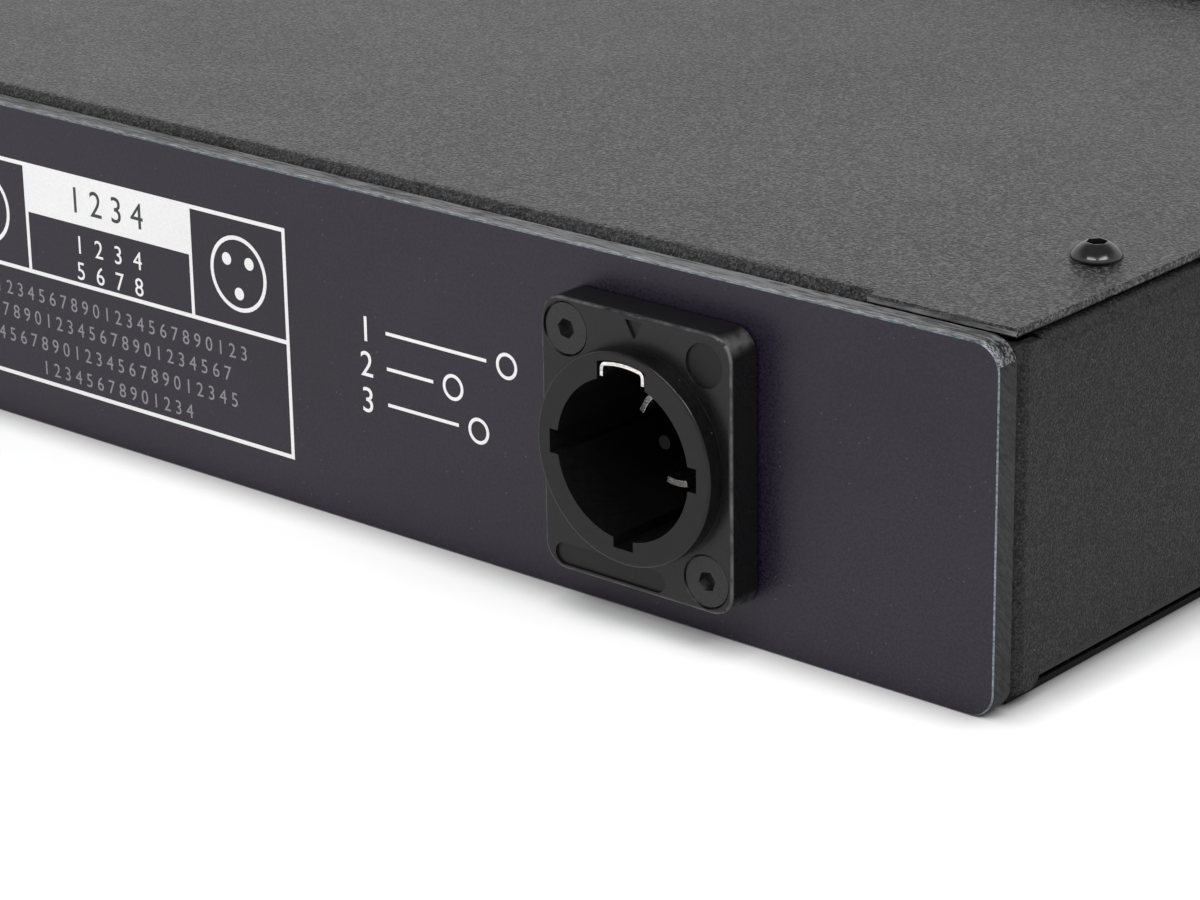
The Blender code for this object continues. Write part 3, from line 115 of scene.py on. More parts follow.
forward = Vector((
    math.sin(AZIMUTH) * math.cos(ELEVATION),
    -math.cos(AZIMUTH) * math.cos(ELEVATION),
    -math.sin(ELEVATION),
))
level_right = forward.cross(Vector((0.0, 0.0, 1.0))).normalized()
level_up = level_right.cross(forward)
right = level_right * math.cos(ROLL) + level_up * math.sin(ROLL)
up = -level_right * math.sin(ROLL) + level_up * math.cos(ROLL)
bpy.ops.object.camera_add(location=CAMERA_PLACE)
camera = bpy.context.object
camera.name = "camera"
camera.rotation_euler = Matrix((right, up, -forward)).transposed().to_euler()
camera.data.sensor_width = SENSOR_WIDTH
camera.data.lens = FOCAL_PIXELS / PHOTO_WIDTH * SENSOR_WIDTH
camera.data.clip_start = 0.01
camera.data.clip_end = 20.0
bpy.context.scene.camera = camera
print("lens", round(camera.data.lens, 1), "mm")

# %% [markdown]
# The unit stands on a white light table in front of a white backdrop, so the table is almost everywhere
# as bright as the picture can show and the shadow under the unit is narrow and pale. A table that glows
# loses that narrow shadow, so a painted shadow in its own material darkens its colour and its glow within
# a few millimetres of what stands on it.
# Dark surfaces mirror their surroundings: the table, a bright band near the horizon and a darker room above
# it. The world gives the last two, with a soft step between them. Two softboxes high above, to the left and
# right of the camera's line of sight, give the glints on round, glossy things.

# %% Nodes by name
def node(tree, kind, **settings):
    """A node whose properties and inputs are set by name. A socket given as a value is linked."""
    made = tree.nodes.new(kind)
    for key, value in settings.items():
        label = key.replace("_", " ")
        if hasattr(made, key):
            setattr(made, key, value)
        elif isinstance(value, bpy.types.NodeSocket):
            tree.links.new(value, made.inputs[label])
        else:
            made.inputs[label].default_value = value
    return made


# %% Table
TABLE_SIZE = 8.0
TABLE_DROP = 0.02 * MM
TABLE_WHITE = (0.88, 0.88, 0.88, 1.0)
TABLE_GLOW = 0.20
SHADOW_REACH = 5.5 * MM
bpy.ops.mesh.primitive_plane_add(size=TABLE_SIZE, location=(0.0, 0.0, -TABLE_DROP))
table = bpy.context.object
table.name = "table"
white = bpy.data.materials.new("white_table")
white.use_nodes = True
white_shader = white.node_tree.nodes["Principled BSDF"]
white_shader.inputs["Roughness"].default_value = 0.6
white_shader.inputs["Emission Strength"].default_value = TABLE_GLOW
# Painted shadow: the table's colour and glow are darkened near whatever stands on it.
contact = node(white.node_tree, "ShaderNodeAmbientOcclusion", Color=TABLE_WHITE, Distance=SHADOW_REACH)
white.node_tree.links.new(contact.outputs["Color"], white_shader.inputs["Base Color"])
white.node_tree.links.new(contact.outputs["AO"], white_shader.inputs["Emission Color"])
table.data.materials.append(white)
print("table:", TABLE_SIZE, "m, its contact shadow reaches", round(SHADOW_REACH / MM, 1), "mm")

# %% Surroundings and softboxes
HORIZON_LIGHT = 1.08
ROOM_LIGHT = 0.30
HORIZON_TOP = 0.46
ROOM_START = 0.78
world = bpy.data.worlds.new("studio")
bpy.context.scene.world = world
world.use_nodes = True
sky = world.node_tree
background = sky.nodes["Background"]
background.inputs["Color"].default_value = (1.0, 1.0, 1.0, 1.0)
direction = node(sky, "ShaderNodeTexCoord")
split = node(sky, "ShaderNodeSeparateXYZ", Vector=direction.outputs["Generated"])
height = node(sky, "ShaderNodeMapRange", interpolation_type="SMOOTHSTEP", Value=split.outputs["Z"],
              From_Min=HORIZON_TOP, From_Max=ROOM_START, To_Min=HORIZON_LIGHT, To_Max=ROOM_LIGHT)
sky.links.new(height.outputs["Result"], background.inputs["Strength"])

SOFTBOX_WIDTH = 0.66
SOFTBOX_DEPTH = 0.26
SOFTBOX_POWER = 5.8
SOFTBOX_AIM = Vector((-0.17, 0.05, 0.02))
SOFTBOXES = {"softbox_left": (-0.28, 0.81, 0.92), "softbox_right": (-0.91, 0.26, 0.92)}
for name, place in SOFTBOXES.items():
    bpy.ops.object.light_add(type="AREA", location=place)
    lamp = bpy.context.object
    lamp.name = name
    lamp.data.shape = "RECTANGLE"
    lamp.data.size = SOFTBOX_WIDTH
    lamp.data.size_y = SOFTBOX_DEPTH
    lamp.data.energy = SOFTBOX_POWER
    lamp.rotation_euler = (SOFTBOX_AIM - Vector(place)).to_track_quat("-Z", "Y").to_euler()
bpy.context.scene.view_settings.view_transform = "Standard"

# %% [markdown]
# Five effects turn up in many finishes, so each is a node group, made once and used with other values in
# each material. They only put out numbers that change over the surface. The shaders stay in the
# materials.
#
# - grain: the fine bumps of powder coat, or of a moulding tool, with a size in metres
# - specks: sparse bright points, such as metallic flecks or dust, and painted glints on the powder coat
# - glitter: painted glints, one shade for each tiny grain, mostly dark with a few bright
# - edges: one where the surface leans away from the three main directions, as on bevels and bends,
#   broken up by noise, which is where paint wears first and where some finishes get a painted highlight
# - streaks: long fine lines along one direction, as a milling cutter leaves

# %% Node group helpers
def group(name, inputs, output):
    """An empty shader group with a vector input for the coordinates, float inputs and one output."""
    tree = bpy.data.node_groups.new(name, "ShaderNodeTree")
    tree.interface.new_socket("Place", in_out="INPUT", socket_type="NodeSocketVector")
    for label, value in inputs:
        socket = tree.interface.new_socket(label, in_out="INPUT", socket_type="NodeSocketFloat")
        socket.default_value = value
    tree.interface.new_socket(output, in_out="OUTPUT", socket_type="NodeSocketFloat")
    return tree, tree.nodes.new("NodeGroupInput"), tree.nodes.new("NodeGroupOutput").inputs[0]


def math_node(tree, operation, first, second=None):
    """A math node; first and second are sockets or numbers."""
    made = node(tree, "ShaderNodeMath", operation=operation)
    for index, value in enumerate((first, second)):
        if isinstance(value, bpy.types.NodeSocket):
            tree.links.new(value, made.inputs[index])
        elif value is not None:
            made.inputs[index].default_value = value
    return made.outputs[0]


def remap(tree, value, low, high, to_low=0.0, to_high=1.0):
    """Spreads a value from one range to another, clamped."""
    made = node(tree, "ShaderNodeMapRange", Value=value, From_Min=low, From_Max=high,
                To_Min=to_low, To_Max=to_high)
    return made.outputs["Result"]


def texture(tree, kind, came, size, **settings):
    """A texture in a group, as coarse as the group's input of that name says."""
    scale = math_node(tree, "DIVIDE", 1.0, came.outputs[size])
    return node(tree, kind, Vector=came.outputs["Place"], Scale=scale, **settings)


print("node helpers ready")

# %% Grain, specks and painted glints
SPECK_RADIUS = 0.22
PAINTED_GLINT_POWER = 2.0
grain, came, goes = group("grain", [("Size", 0.3 * MM), ("Detail", 2.0)], "Height")
noise = texture(grain, "ShaderNodeTexNoise", came, "Size", Roughness=0.6, Detail=came.outputs["Detail"])
grain.links.new(noise.outputs["Fac"], goes)

specks_and_glints, came, goes = group("specks_and_glints", [("Spacing", 1.0 * MM), ("Share", 0.1)], "Mask")
cells = texture(specks_and_glints, "ShaderNodeTexVoronoi", came, "Spacing")
picked = node(specks_and_glints, "ShaderNodeSeparateColor", Color=cells.outputs["Color"])
chosen = math_node(specks_and_glints, "LESS_THAN", picked.outputs["Red"], came.outputs["Share"])
reach = math_node(specks_and_glints, "MULTIPLY", picked.outputs["Green"], SPECK_RADIUS)
near = math_node(specks_and_glints, "LESS_THAN", cells.outputs["Distance"], reach)
specks_and_glints.links.new(math_node(specks_and_glints, "MULTIPLY", chosen, near), goes)

painted_glints, came, goes = group("painted_glints", [("Spacing", 0.3 * MM)], "Mask")
grains = texture(painted_glints, "ShaderNodeTexVoronoi", came, "Spacing")
shade = node(painted_glints, "ShaderNodeSeparateColor", Color=grains.outputs["Color"])
painted_glints.links.new(math_node(painted_glints, "POWER", shade.outputs["Red"], PAINTED_GLINT_POWER), goes)
print("groups:", [tree.name for tree in (grain, specks_and_glints, painted_glints)])

# %% Edges and streaks
# A flat's largest normal component is one; on a bevel it falls towards the second limit.
FLAT_LIMIT = 0.985
BEVEL_LIMIT = 0.80
edges, came, goes = group("edges", [("Amount", 1.0), ("Patch", 2.0 * MM)], "Mask")
lean = node(edges, "ShaderNodeTexCoord")
part = node(edges, "ShaderNodeSeparateXYZ", Vector=lean.outputs["Normal"])
sizes = [math_node(edges, "ABSOLUTE", part.outputs[axis]) for axis in ("X", "Y", "Z")]
largest = math_node(edges, "MAXIMUM", math_node(edges, "MAXIMUM", sizes[0], sizes[1]), sizes[2])
slanted = remap(edges, largest, FLAT_LIMIT, BEVEL_LIMIT)
patches = texture(edges, "ShaderNodeTexNoise", came, "Patch", Detail=3.0)
broken = remap(edges, patches.outputs["Fac"], 0.35, 0.65)
# Edges to lighten: wear, and on some finishes a painted highlight.
edge_wear_and_highlight = math_node(edges, "MULTIPLY", slanted, broken)
edges.links.new(math_node(edges, "MULTIPLY", edge_wear_and_highlight, came.outputs["Amount"]), goes)

streaks, came, goes = group("streaks", [("Length", 6.0 * MM), ("Width", 0.15 * MM)], "Lines")
stretch = node(streaks, "ShaderNodeVectorMath", operation="DIVIDE")
width = came.outputs["Width"]
spread = node(streaks, "ShaderNodeCombineXYZ", X=came.outputs["Length"], Y=width, Z=width)
streaks.links.new(came.outputs["Place"], stretch.inputs[0])
streaks.links.new(spread.outputs[0], stretch.inputs[1])
lines = node(streaks, "ShaderNodeTexNoise", Vector=stretch.outputs[0], Scale=1.0, Detail=3.0, Roughness=0.7)
streaks.links.new(lines.outputs["Fac"], goes)
print("groups:", [tree.name for tree in (edges, streaks)])

# %% [markdown]
# One function lays out every finish the same way: a base colour that drifts between two shades, is
# lightened on edges, by wear and on some finishes as a painted highlight, and carries specks, a roughness
# that follows the grain, and the grain again as a bump. What differs from powder coat to plastic to steel
# is only the values. Numbers that are the same all over go straight on the shader's own sockets, because
# the export drops them when they are linked.

# %% A finish
FINE_SHARE = 0.7
BROAD_SHARE = 0.3
BROAD_SIZE = 25.0 * MM
RIM_REACH = 1.3 * MM
SCRAPED = (0.34, 0.36, 0.39)
SCRAPE_LENGTH = 1.6 * MM
SCRAPE_WIDTH = 0.16 * MM


def finish(name, dark, light, roughness, bump=0.1, depth=0.01, size=0.3, metallic=0.0, specular=0.5,
           rough_spread=0.12, contrast=0.15, wear_and_highlight=None, flecks_and_glints=None, painted_sparkle=None, streak=None, turn=None,
           rim=None):
    """A Principled material from the shared effects. Lengths are in millimetres. A colour is a linear
    (r, g, b), or one number for a grey. The lightened edges take (amount, colour): wear, and on some
    finishes a painted highlight. The specks take (share, gap, colour) and are partly painted glints, and the
    grain glitter takes (gap, colour) and is painted glints. streak is (length, width). turn rotates the
    pattern, and rim is the y of a face whose edge is scraped."""
    made = bpy.data.materials.new(name)
    made.use_nodes = True
    tree = made.node_tree
    shader = tree.nodes["Principled BSDF"]
    shader.inputs["Metallic"].default_value = metallic
    shader.inputs["Specular IOR Level"].default_value = specular
    place = node(tree, "ShaderNodeTexCoord").outputs["Object"]

    if turn:
        turned = node(tree, "ShaderNodeVectorRotate", rotation_type="EULER_XYZ", Rotation=turn, Vector=place)
        place = turned.outputs["Vector"]

    def effect(kind, **values):
        """The value of a shared group at this finish's coordinates."""
        return node(tree, "ShaderNodeGroup", node_tree=kind, Place=place, **values).outputs[0]

    def mixed(mask, first, second):
        """Mixes two colours by a mask; each is a socket, a tuple or a grey."""
        mix = node(tree, "ShaderNodeMix", data_type="RGBA")
        tree.links.new(mask, mix.inputs[0])
        for socket, value in ((mix.inputs[6], first), (mix.inputs[7], second)):
            if isinstance(value, bpy.types.NodeSocket):
                tree.links.new(value, socket)
            elif isinstance(value, tuple):
                socket.default_value = (*value, 1.0)
            else:
                socket.default_value = (value, value, value, 1.0)
        return mix.outputs[2]

    if streak:
        fine = effect(streaks, Length=streak[0] * MM, Width=streak[1] * MM)
    else:
        fine = effect(grain, Size=size * MM, Detail=2.0)
    broad = math_node(tree, "MULTIPLY", effect(grain, Size=BROAD_SIZE, Detail=3.0), BROAD_SHARE)
    blend = math_node(tree, "ADD", math_node(tree, "MULTIPLY", fine, FINE_SHARE), broad)
    colour = mixed(remap(tree, blend, 0.5 - contrast, 0.5 + contrast), dark, light)
    # Painted glints: single grains made bright.
    if painted_sparkle:
        colour = mixed(effect(painted_glints, Spacing=painted_sparkle[0] * MM), colour, painted_sparkle[1])
    if rim:
        apart = node(tree, "ShaderNodeSeparateXYZ", Vector=place)
        inwards = math_node(tree, "ABSOLUTE", math_node(tree, "SUBTRACT", apart.outputs["Y"], rim))
        close = remap(tree, inwards, 0.2 * RIM_REACH, RIM_REACH, 1.0, 0.0)
        scrapes = remap(tree, effect(streaks, Length=SCRAPE_LENGTH, Width=SCRAPE_WIDTH), 0.46, 0.62)
        colour = mixed(math_node(tree, "MULTIPLY", close, scrapes), colour, SCRAPED)
    # Lighter edges: wear, and on some finishes a painted highlight.
    if wear_and_highlight:
        colour = mixed(effect(edges, Amount=wear_and_highlight[0]), colour, wear_and_highlight[1])
    # Bright points: flecks and dust, and on the powder coat painted glints.
    if flecks_and_glints:
        colour = mixed(effect(specks_and_glints, Spacing=flecks_and_glints[1] * MM, Share=flecks_and_glints[0]), colour, flecks_and_glints[2])
    tree.links.new(colour, shader.inputs["Base Color"])
    rough = remap(tree, blend, 0.3, 0.7, roughness - rough_spread / 2, roughness + rough_spread / 2)
    tree.links.new(rough, shader.inputs["Roughness"])
    raised = node(tree, "ShaderNodeBump", Strength=bump, Distance=depth * MM, Height=fine)
    tree.links.new(raised.outputs["Normal"], shader.inputs["Normal"])
    return made


print("effects that a finish can use:", [tree.name for tree in bpy.data.node_groups])

# %% [markdown]
# The cover and the channels have a textured powder coat: bumps about a third of a millimetre across, a few
# brighter flecks and single bright grains, which are painted glints. The sides, the cover's rear bend and
# the underside catch less light than the top, so each gets a darker copy of the coat, which is painted
# shade. The cover's rear cut edge gets a lighter finish in fine lines, a painted highlight. All this is
# computed from the place on the surface, so it runs over bends without a seam, which a wrapped picture
# wouldn't do.

# %% Powder coat
# Top coat: flecks and bright grains are painted glints, lighter edges and bends partly painted highlight.
powder = finish(
    "powder_coat", 0.0005, 0.014, 0.38, bump=1.0, depth=0.12, size=0.42, specular=0.157, rough_spread=0.22,
    contrast=0.06, wear_and_highlight=(0.3, 0.035), flecks_and_glints=(0.06, 0.45, 0.16), painted_sparkle=(0.27, 0.1),
)
# Darker copy for the side channels: painted shade, with darker painted glints.
powder_shaded_side = finish(
    "powder_coat_shaded_sides", 0.0005, 0.007, 0.4, bump=1.0, depth=0.08, size=0.27, specular=0.095,
    rough_spread=0.22, contrast=0.06, wear_and_highlight=(0.3, 0.035), flecks_and_glints=(0.06, 0.45, 0.16), painted_sparkle=(0.2, 0.027),
)
# Darker copy for the cover's rear bend: painted shade.
powder_shaded_bend = finish(
    "powder_coat_shaded_bend", 0.0005, 0.011, 0.4, bump=1.0, depth=0.08, specular=0.155, contrast=0.06,
    wear_and_highlight=(0.3, 0.035), painted_sparkle=(0.2, 0.07),
)
# Darker copy for the floor sheet: painted shade, with dense bright flecks as painted glints.
powder_shaded_underside = finish(
    "powder_coat_shaded_underside", 0.0005, 0.008, 0.46, bump=0.9, depth=0.12, specular=0.06,
    flecks_and_glints=(0.3, 0.5, 0.3),
)
# Lighter finish in fine lines for the cover's rear cut edge: a painted highlight.
painted_edge_highlight = finish("cut_edge_painted_highlight", 0.03, 0.25, 0.42, bump=0.5, depth=0.04, specular=0.4, streak=(2.5, 0.25))
print("finishes so far:", len(bpy.data.materials) - 1)

# %% [markdown]
# The panels are anodised after milling. Their faces are smooth and slightly violet, while their sawn and
# milled edges keep the cutter's lines, scraped bright along the top of the outer edge. On the rear plate the
# edge faces that look up get a lighter copy of the edge finish, painted light from above. Streaks stretched
# along one direction give those lines. On the upright ends the same streaks are turned.

# %% Anodised plates
anodised = finish(
    "anodised_face", (0.0035, 0.0018, 0.0068), (0.0098, 0.0062, 0.0158), 0.38, bump=0.8, depth=0.018,
    size=0.34, specular=0.345, contrast=0.06, flecks_and_glints=(0.05, 0.6, (0.045, 0.045, 0.05)),
)
milled_side = finish(
    "anodised_milled_side", (0.001, 0.001, 0.0015), (0.026, 0.026, 0.028), 0.4, bump=1.0, depth=0.09,
    specular=0.11, streak=(1.6, 0.34), turn=(-0.8, 0.0, -1.57),
)
# Lighter copy for the rear plate's top edge: painted light from above.
milled_top_painted_light = finish(
    "anodised_milled_top_painted_light", (0.002, 0.002, 0.003), (0.116, 0.117, 0.121), 0.38, bump=1.0, depth=0.08,
    specular=0.12, contrast=0.04, streak=(4.0, 0.36), rim=REAR_FACE,
)
milled_line = finish(
    "bright_milled_line", (0.03, 0.037, 0.047), (0.26, 0.285, 0.325), 0.4, bump=0.6, depth=0.03,
    metallic=0.6, streak=(0.9, 0.3),
)
print("finishes so far:", len(bpy.data.materials) - 1)

# %% [markdown]
# The mains inlet is one moulding with a grained flange, a smooth collar and a bore with draw marks along its
# depth. The bore, the recesses and the post deep inside get darker copies of the plastic, painted shade,
# and the flange's edges a painted highlight. One material could change from place to place, but a finish
# for each part is easier to tune.

# %% Inlet plastic
# The flange's lighter edges are a painted highlight.
inlet_plastic = finish(
    "inlet_plastic", (0.0022, 0.0022, 0.0024), (0.0055, 0.0055, 0.0058), 0.31, bump=0.45, depth=0.025,
    size=0.28, specular=0.28, wear_and_highlight=(0.9, (0.085, 0.085, 0.087)), flecks_and_glints=(0.05, 0.6, (0.05, 0.05, 0.052)),
)
smooth_plastic = finish(
    "smooth_inlet_plastic", (0.002, 0.002, 0.0022), (0.0045, 0.0045, 0.0048), 0.21, bump=0.05, depth=0.015,
    size=0.9, specular=0.25, wear_and_highlight=(0.15, (0.012, 0.012, 0.013)), flecks_and_glints=(0.03, 0.7, (0.04, 0.04, 0.042)),
)
# Darker copy for the bore: painted shade, with draw marks.
bore_plastic_painted_shade = finish(
    "bore_plastic_painted_shade", (0.0016, 0.0016, 0.0018), (0.005, 0.005, 0.0055), 0.34, bump=0.3, depth=0.015,
    specular=0.3, streak=(0.25, 0.9),
)
# Darker copy for the recesses: painted shade.
recess_plastic_painted_shade = finish(
    "recessed_plastic_painted_shade", (0.0014, 0.0014, 0.0015), (0.004, 0.004, 0.0042), 0.4, bump=0.35, depth=0.02,
    size=0.28, specular=0.24,
)
# Darker copy for the floor and post deep in the bore: painted shade.
post_plastic_painted_shade = finish(
    "post_plastic_painted_shade", (0.0008, 0.0008, 0.0009), (0.0025, 0.0025, 0.0026), 0.36, bump=0.2, depth=0.015,
    specular=0.09,
)
print("finishes so far:", len(bpy.data.materials) - 1)

# %% [markdown]
# The flange screws are blackened steel with bare edges, and the cover's screws are glossier. Contacts and
# latches are real metal, brushed in fine lines. The other sockets, the switch and the lamp lenses are
# coated or moulded and differ in grain and gloss alone.

# %% Screws, contacts and sockets
black_steel = finish(
    "black_steel", 0.008, (0.026, 0.025, 0.025), 0.32, bump=0.35, size=0.2, metallic=0.5, wear_and_highlight=(0.7, 0.16),
)
glossy_steel = finish(
    "glossy_black_steel", 0.004, (0.01, 0.009, 0.009), 0.18, bump=0.06, size=0.5, rough_spread=0.08,
)
bright_metal = finish(
    "bright_contact_metal", (0.28, 0.27, 0.255), (0.9, 0.88, 0.84), 0.22, bump=0.3, depth=0.03, metallic=1.0,
    streak=(0.7, 0.22),
)
shell_metal = finish(
    "coated_casting", (0.01, 0.01, 0.0105), (0.017, 0.017, 0.018), 0.36, bump=0.15, depth=0.015, size=0.2,
    wear_and_highlight=(0.5, 0.07),
)
insert_plastic = finish("socket_plastic", 0.01, 0.014, 0.48, size=0.15)
latch_steel = finish(
    "brushed_latch_steel", 0.36, (0.62, 0.61, 0.6), 0.3, bump=0.15, metallic=1.0, streak=(3.0, 0.06),
)
switch_plastic = finish("switch_plastic", 0.008, 0.012, 0.34, size=0.18, wear_and_highlight=(0.5, 0.03))
rocker_plastic = finish("rocker_plastic", 0.009, 0.013, 0.24, bump=0.06, wear_and_highlight=(0.4, 0.03))
lens_green = finish(
    "tinted_lens", (0.02, 0.2, 0.05), (0.05, 0.34, 0.1), 0.12, bump=0.03, size=0.5, rough_spread=0.04,
)
print("finishes so far:", len(bpy.data.materials) - 1)

# %% [markdown]
# The inside is seen only when the cover is off, so its parts have plain finishes in the usual colours. The
# inks are almost flat: a fine grain keeps them from looking like holes cut in the panel.

# %% Boards, leads and inks
board_green = finish("circuit_board", (0.008, 0.055, 0.022), (0.015, 0.09, 0.035), 0.42, depth=0.02, size=0.8)
component_case = finish("component_case", (0.012, 0.014, 0.02), (0.02, 0.024, 0.032), 0.42, size=0.2)
can_sleeve = finish(
    "capacitor_sleeve", (0.012, 0.014, 0.03), (0.02, 0.024, 0.045), 0.3, bump=0.05, depth=0.03, size=0.4,
)
terminal_green = finish(
    "terminal_plastic", (0.01, 0.1, 0.03), (0.02, 0.14, 0.05), 0.4, bump=0.08, depth=0.03, size=0.2,
)
zinc = finish("zinc_plating", (0.5, 0.49, 0.46), (0.66, 0.65, 0.62), 0.32, metallic=1.0)
brown_sleeve = finish("brown_insulation", (0.1, 0.035, 0.015), (0.14, 0.05, 0.02), 0.42, bump=0.05, size=0.5)
blue_sleeve = finish("blue_insulation", (0.015, 0.08, 0.3), (0.02, 0.11, 0.38), 0.42, bump=0.05, size=0.5)
green_sleeve = finish("green_insulation", (0.08, 0.28, 0.03), (0.11, 0.36, 0.05), 0.42, bump=0.05, size=0.5)
white_ink = finish("white_ink", 0.6, 0.72, 0.55, bump=0.15, size=0.12)
pale_ink = finish("pale_ink", (0.13, 0.13, 0.135), (0.22, 0.22, 0.225), 0.55, bump=0.15, size=0.12)
dark_ink = finish("dark_ink", (0.012, 0.012, 0.013), (0.02, 0.02, 0.021), 0.5, size=0.12)
print("finishes so far:", len(bpy.data.materials) - 1)

# %% [markdown]
# A few helpers stand for what a person does all the time: pick one object, pick faces or edges by where
# they are, apply a modifier, cut one object with another. An operator acts on all that is selected, so
# a helper first selects its one object alone.

# %% Modelling helpers
def only(item):
    """Selects one object alone and makes it the active one."""
    if bpy.context.object and bpy.context.object.mode != "OBJECT":
        bpy.ops.object.mode_set(mode="OBJECT")
    bpy.ops.object.select_all(action="DESELECT")
    item.select_set(True)
    bpy.context.view_layer.objects.active = item
    return item


def settled(item):
    """Brings an object's place, turn and size into its mesh."""
    only(item)
    bpy.ops.object.transform_apply()
    return item


def named(name):
    """Names and settles the object just added."""
    item = bpy.context.object
    item.name = name
    item.data.name = name
    return settled(item)


def block(name, low, high):
    """A box between two corners."""
    low, high = Vector(low), Vector(high)
    bpy.ops.mesh.primitive_cube_add(size=1.0, location=(low + high) / 2)
    bpy.context.object.scale = high - low
    return named(name)


AXIS = {"Y": Vector((0, 1, 0)), "Z": Vector((0, 0, 1))}
TURN = {"Y": (-math.pi / 2, 0.0, 0.0), "Z": (0.0, 0.0, 0.0)}


def rod(name, place, radius, low, high, axis="Y", sides=96):
    """A round bar about an axis through place, from low to high along it."""
    bpy.ops.mesh.primitive_cylinder_add(
        vertices=sides, radius=radius, depth=high - low,
        location=Vector(place) + AXIS[axis] * (low + high) / 2, rotation=TURN[axis],
    )
    return named(name)


print("helpers for selecting and adding ready")

# %% Picking faces and edges
def pick(item, kind, test):
    """Enters edit mode with only those faces or edges selected that pass the test, and counts them."""
    only(item)
    bpy.ops.object.mode_set(mode="EDIT")
    bpy.ops.mesh.select_mode(type=kind)
    bpy.ops.mesh.select_all(action="DESELECT")
    shape = bmesh.from_edit_mesh(item.data)
    passed = 0
    for one in shape.faces if kind == "FACE" else shape.edges:
        chosen = bool(test(one))
        one.select_set(chosen)
        passed += chosen
    bmesh.update_edit_mesh(item.data)
    return passed


def pick_faces(item, test):
    """Picks faces by their middle and normal."""
    return pick(item, "FACE", lambda face: test(face.calc_center_median(), face.normal))


def leave():
    """Goes back to object mode."""
    bpy.ops.object.mode_set(mode="OBJECT")


def round_edges(item, test, width, segments):
    """Rounds the edges whose two ends pass the test, or chamfers them with one segment."""
    pick(item, "EDGE", lambda edge: test(edge.verts[0].co, edge.verts[1].co))
    bpy.ops.mesh.bevel(offset=width, segments=segments)
    leave()


def along_depth(a, b):
    """Passes edges that run from front to rear."""
    return abs(a.x - b.x) < MM and abs(a.z - b.z) < MM


def in_plane(y):
    """Makes a test that passes edges lying in an upright plane."""
    return lambda a, b: abs(a.y - y) < 0.1 * MM and abs(b.y - y) < 0.1 * MM


def pull(x, y, z):
    """Extrudes what is picked by a step."""
    bpy.ops.mesh.extrude_region_move(TRANSFORM_OT_translate={"value": (x, y, z)})


print("helpers for edit mode ready")

# %% Modifiers, finishes and places
def applied(item, kind, **settings):
    """Adds a modifier, sets it and applies it."""
    only(item)
    modifier = item.modifiers.new("Step", kind)
    for key, value in settings.items():
        setattr(modifier, key, value)
    bpy.ops.object.modifier_apply(modifier="Step")
    return item


def cut(item, tool, operation="DIFFERENCE"):
    """Cuts a tool out of an item and removes the tool."""
    applied(item, "BOOLEAN", object=tool, operation=operation, solver="EXACT")
    bpy.data.objects.remove(tool)
    return item


def fuse(item, tool):
    """Makes a tool one with an item."""
    return cut(item, tool, "UNION")


def soften(item, width, segments=2, angle=35.0):
    """Rounds every edge sharper than the angle, and keeps the flats flat in the shading."""
    applied(item, "BEVEL", width=width, segments=segments, limit_method="ANGLE",
            angle_limit=math.radians(angle), use_clamp_overlap=True, miter_outer="MITER_ARC")
    return item


def smooth(item, angle=30.0):
    """Shades an item smooth, apart from edges sharper than the angle."""
    only(item)
    bpy.ops.object.shade_smooth_by_angle(angle=math.radians(angle))
    applied(item, "WEIGHTED_NORMAL", keep_sharp=True, weight=80)
    return item


def paint(item, *finishes):
    """Gives an item its finishes, in the order of their slots."""
    item.data.materials.clear()
    for one in finishes:
        item.data.materials.append(one)
    return item


def placed(item, slot, *nodes, body=CHASSIS):
    """Rides the piece on its body and hides the CAD nodes that it stands for. The slot is not used."""
    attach(item, body)
    if nodes:
        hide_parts(*nodes)
    return item


def twin(item, name, step):
    """A copy with its own mesh, moved by a step inside that mesh."""
    copy = item.copy()
    copy.data = item.data.copy()
    copy.name = copy.data.name = name
    bpy.context.scene.collection.objects.link(copy)
    copy.parent = None
    copy.matrix_world = Matrix.Identity(4)
    copy.data.transform(Matrix.Translation(Vector(step)))
    return copy


print("helpers for finishing ready")

# %% [markdown]
# A CAD node comes in as loose, flat triangles. Where its form is right, a copy is merged into one skin,
# its flat faces are made whole again, and its edges get the small radius that coated sheet or a casting
# really has. That radius is what catches the light along an edge.

# %% Refining a CAD node
SHARP = math.radians(50.0)


def round_cuts(item, width, shortest):
    """Rounds a sheet's long sharp edges. Short ones, as in round reliefs, would hold the width back."""
    def sharp(edge):
        return len(edge.link_faces) == 2 and edge.calc_face_angle() > SHARP and edge.calc_length() > shortest

    count = pick(item, "EDGE", sharp)
    bpy.ops.mesh.bevel(offset=width, segments=3, clamp_overlap=False)
    leave()
    return count


def refined(name, node_name, width, segments=2, angle=35.0, smooth_angle=40.0, weld=0.002 * MM):
    """A merged copy of a CAD node with soft edges. A width of nought leaves its edges sharp."""
    source = frame["nodes"][node_name]
    copy = twin(source, name, (0.0, 0.0, 0.0))
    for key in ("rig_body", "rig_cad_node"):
        if key in copy:
            del copy[key]
    only(copy)
    bpy.ops.object.mode_set(mode="EDIT")
    bpy.ops.mesh.select_all(action="SELECT")
    bpy.ops.mesh.remove_doubles(threshold=weld)
    bpy.ops.mesh.customdata_custom_splitnormals_clear()
    bpy.ops.mesh.dissolve_limited(angle_limit=math.radians(0.5))
    leave()
    if width:
        soften(copy, width, segments, angle)
    return smooth(copy, smooth_angle)


def dressed(node_name, name, look, slot, width=0.0, segments=2, angle=35.0, smooth_angle=40.0, body=CHASSIS):
    """Refines a CAD node, paints it and puts it in the node's place."""
    piece = refined(name, node_name, width, segments, angle, smooth_angle)
    return placed(paint(piece, look), slot, node_name, body=body)


print("helpers for refining ready")

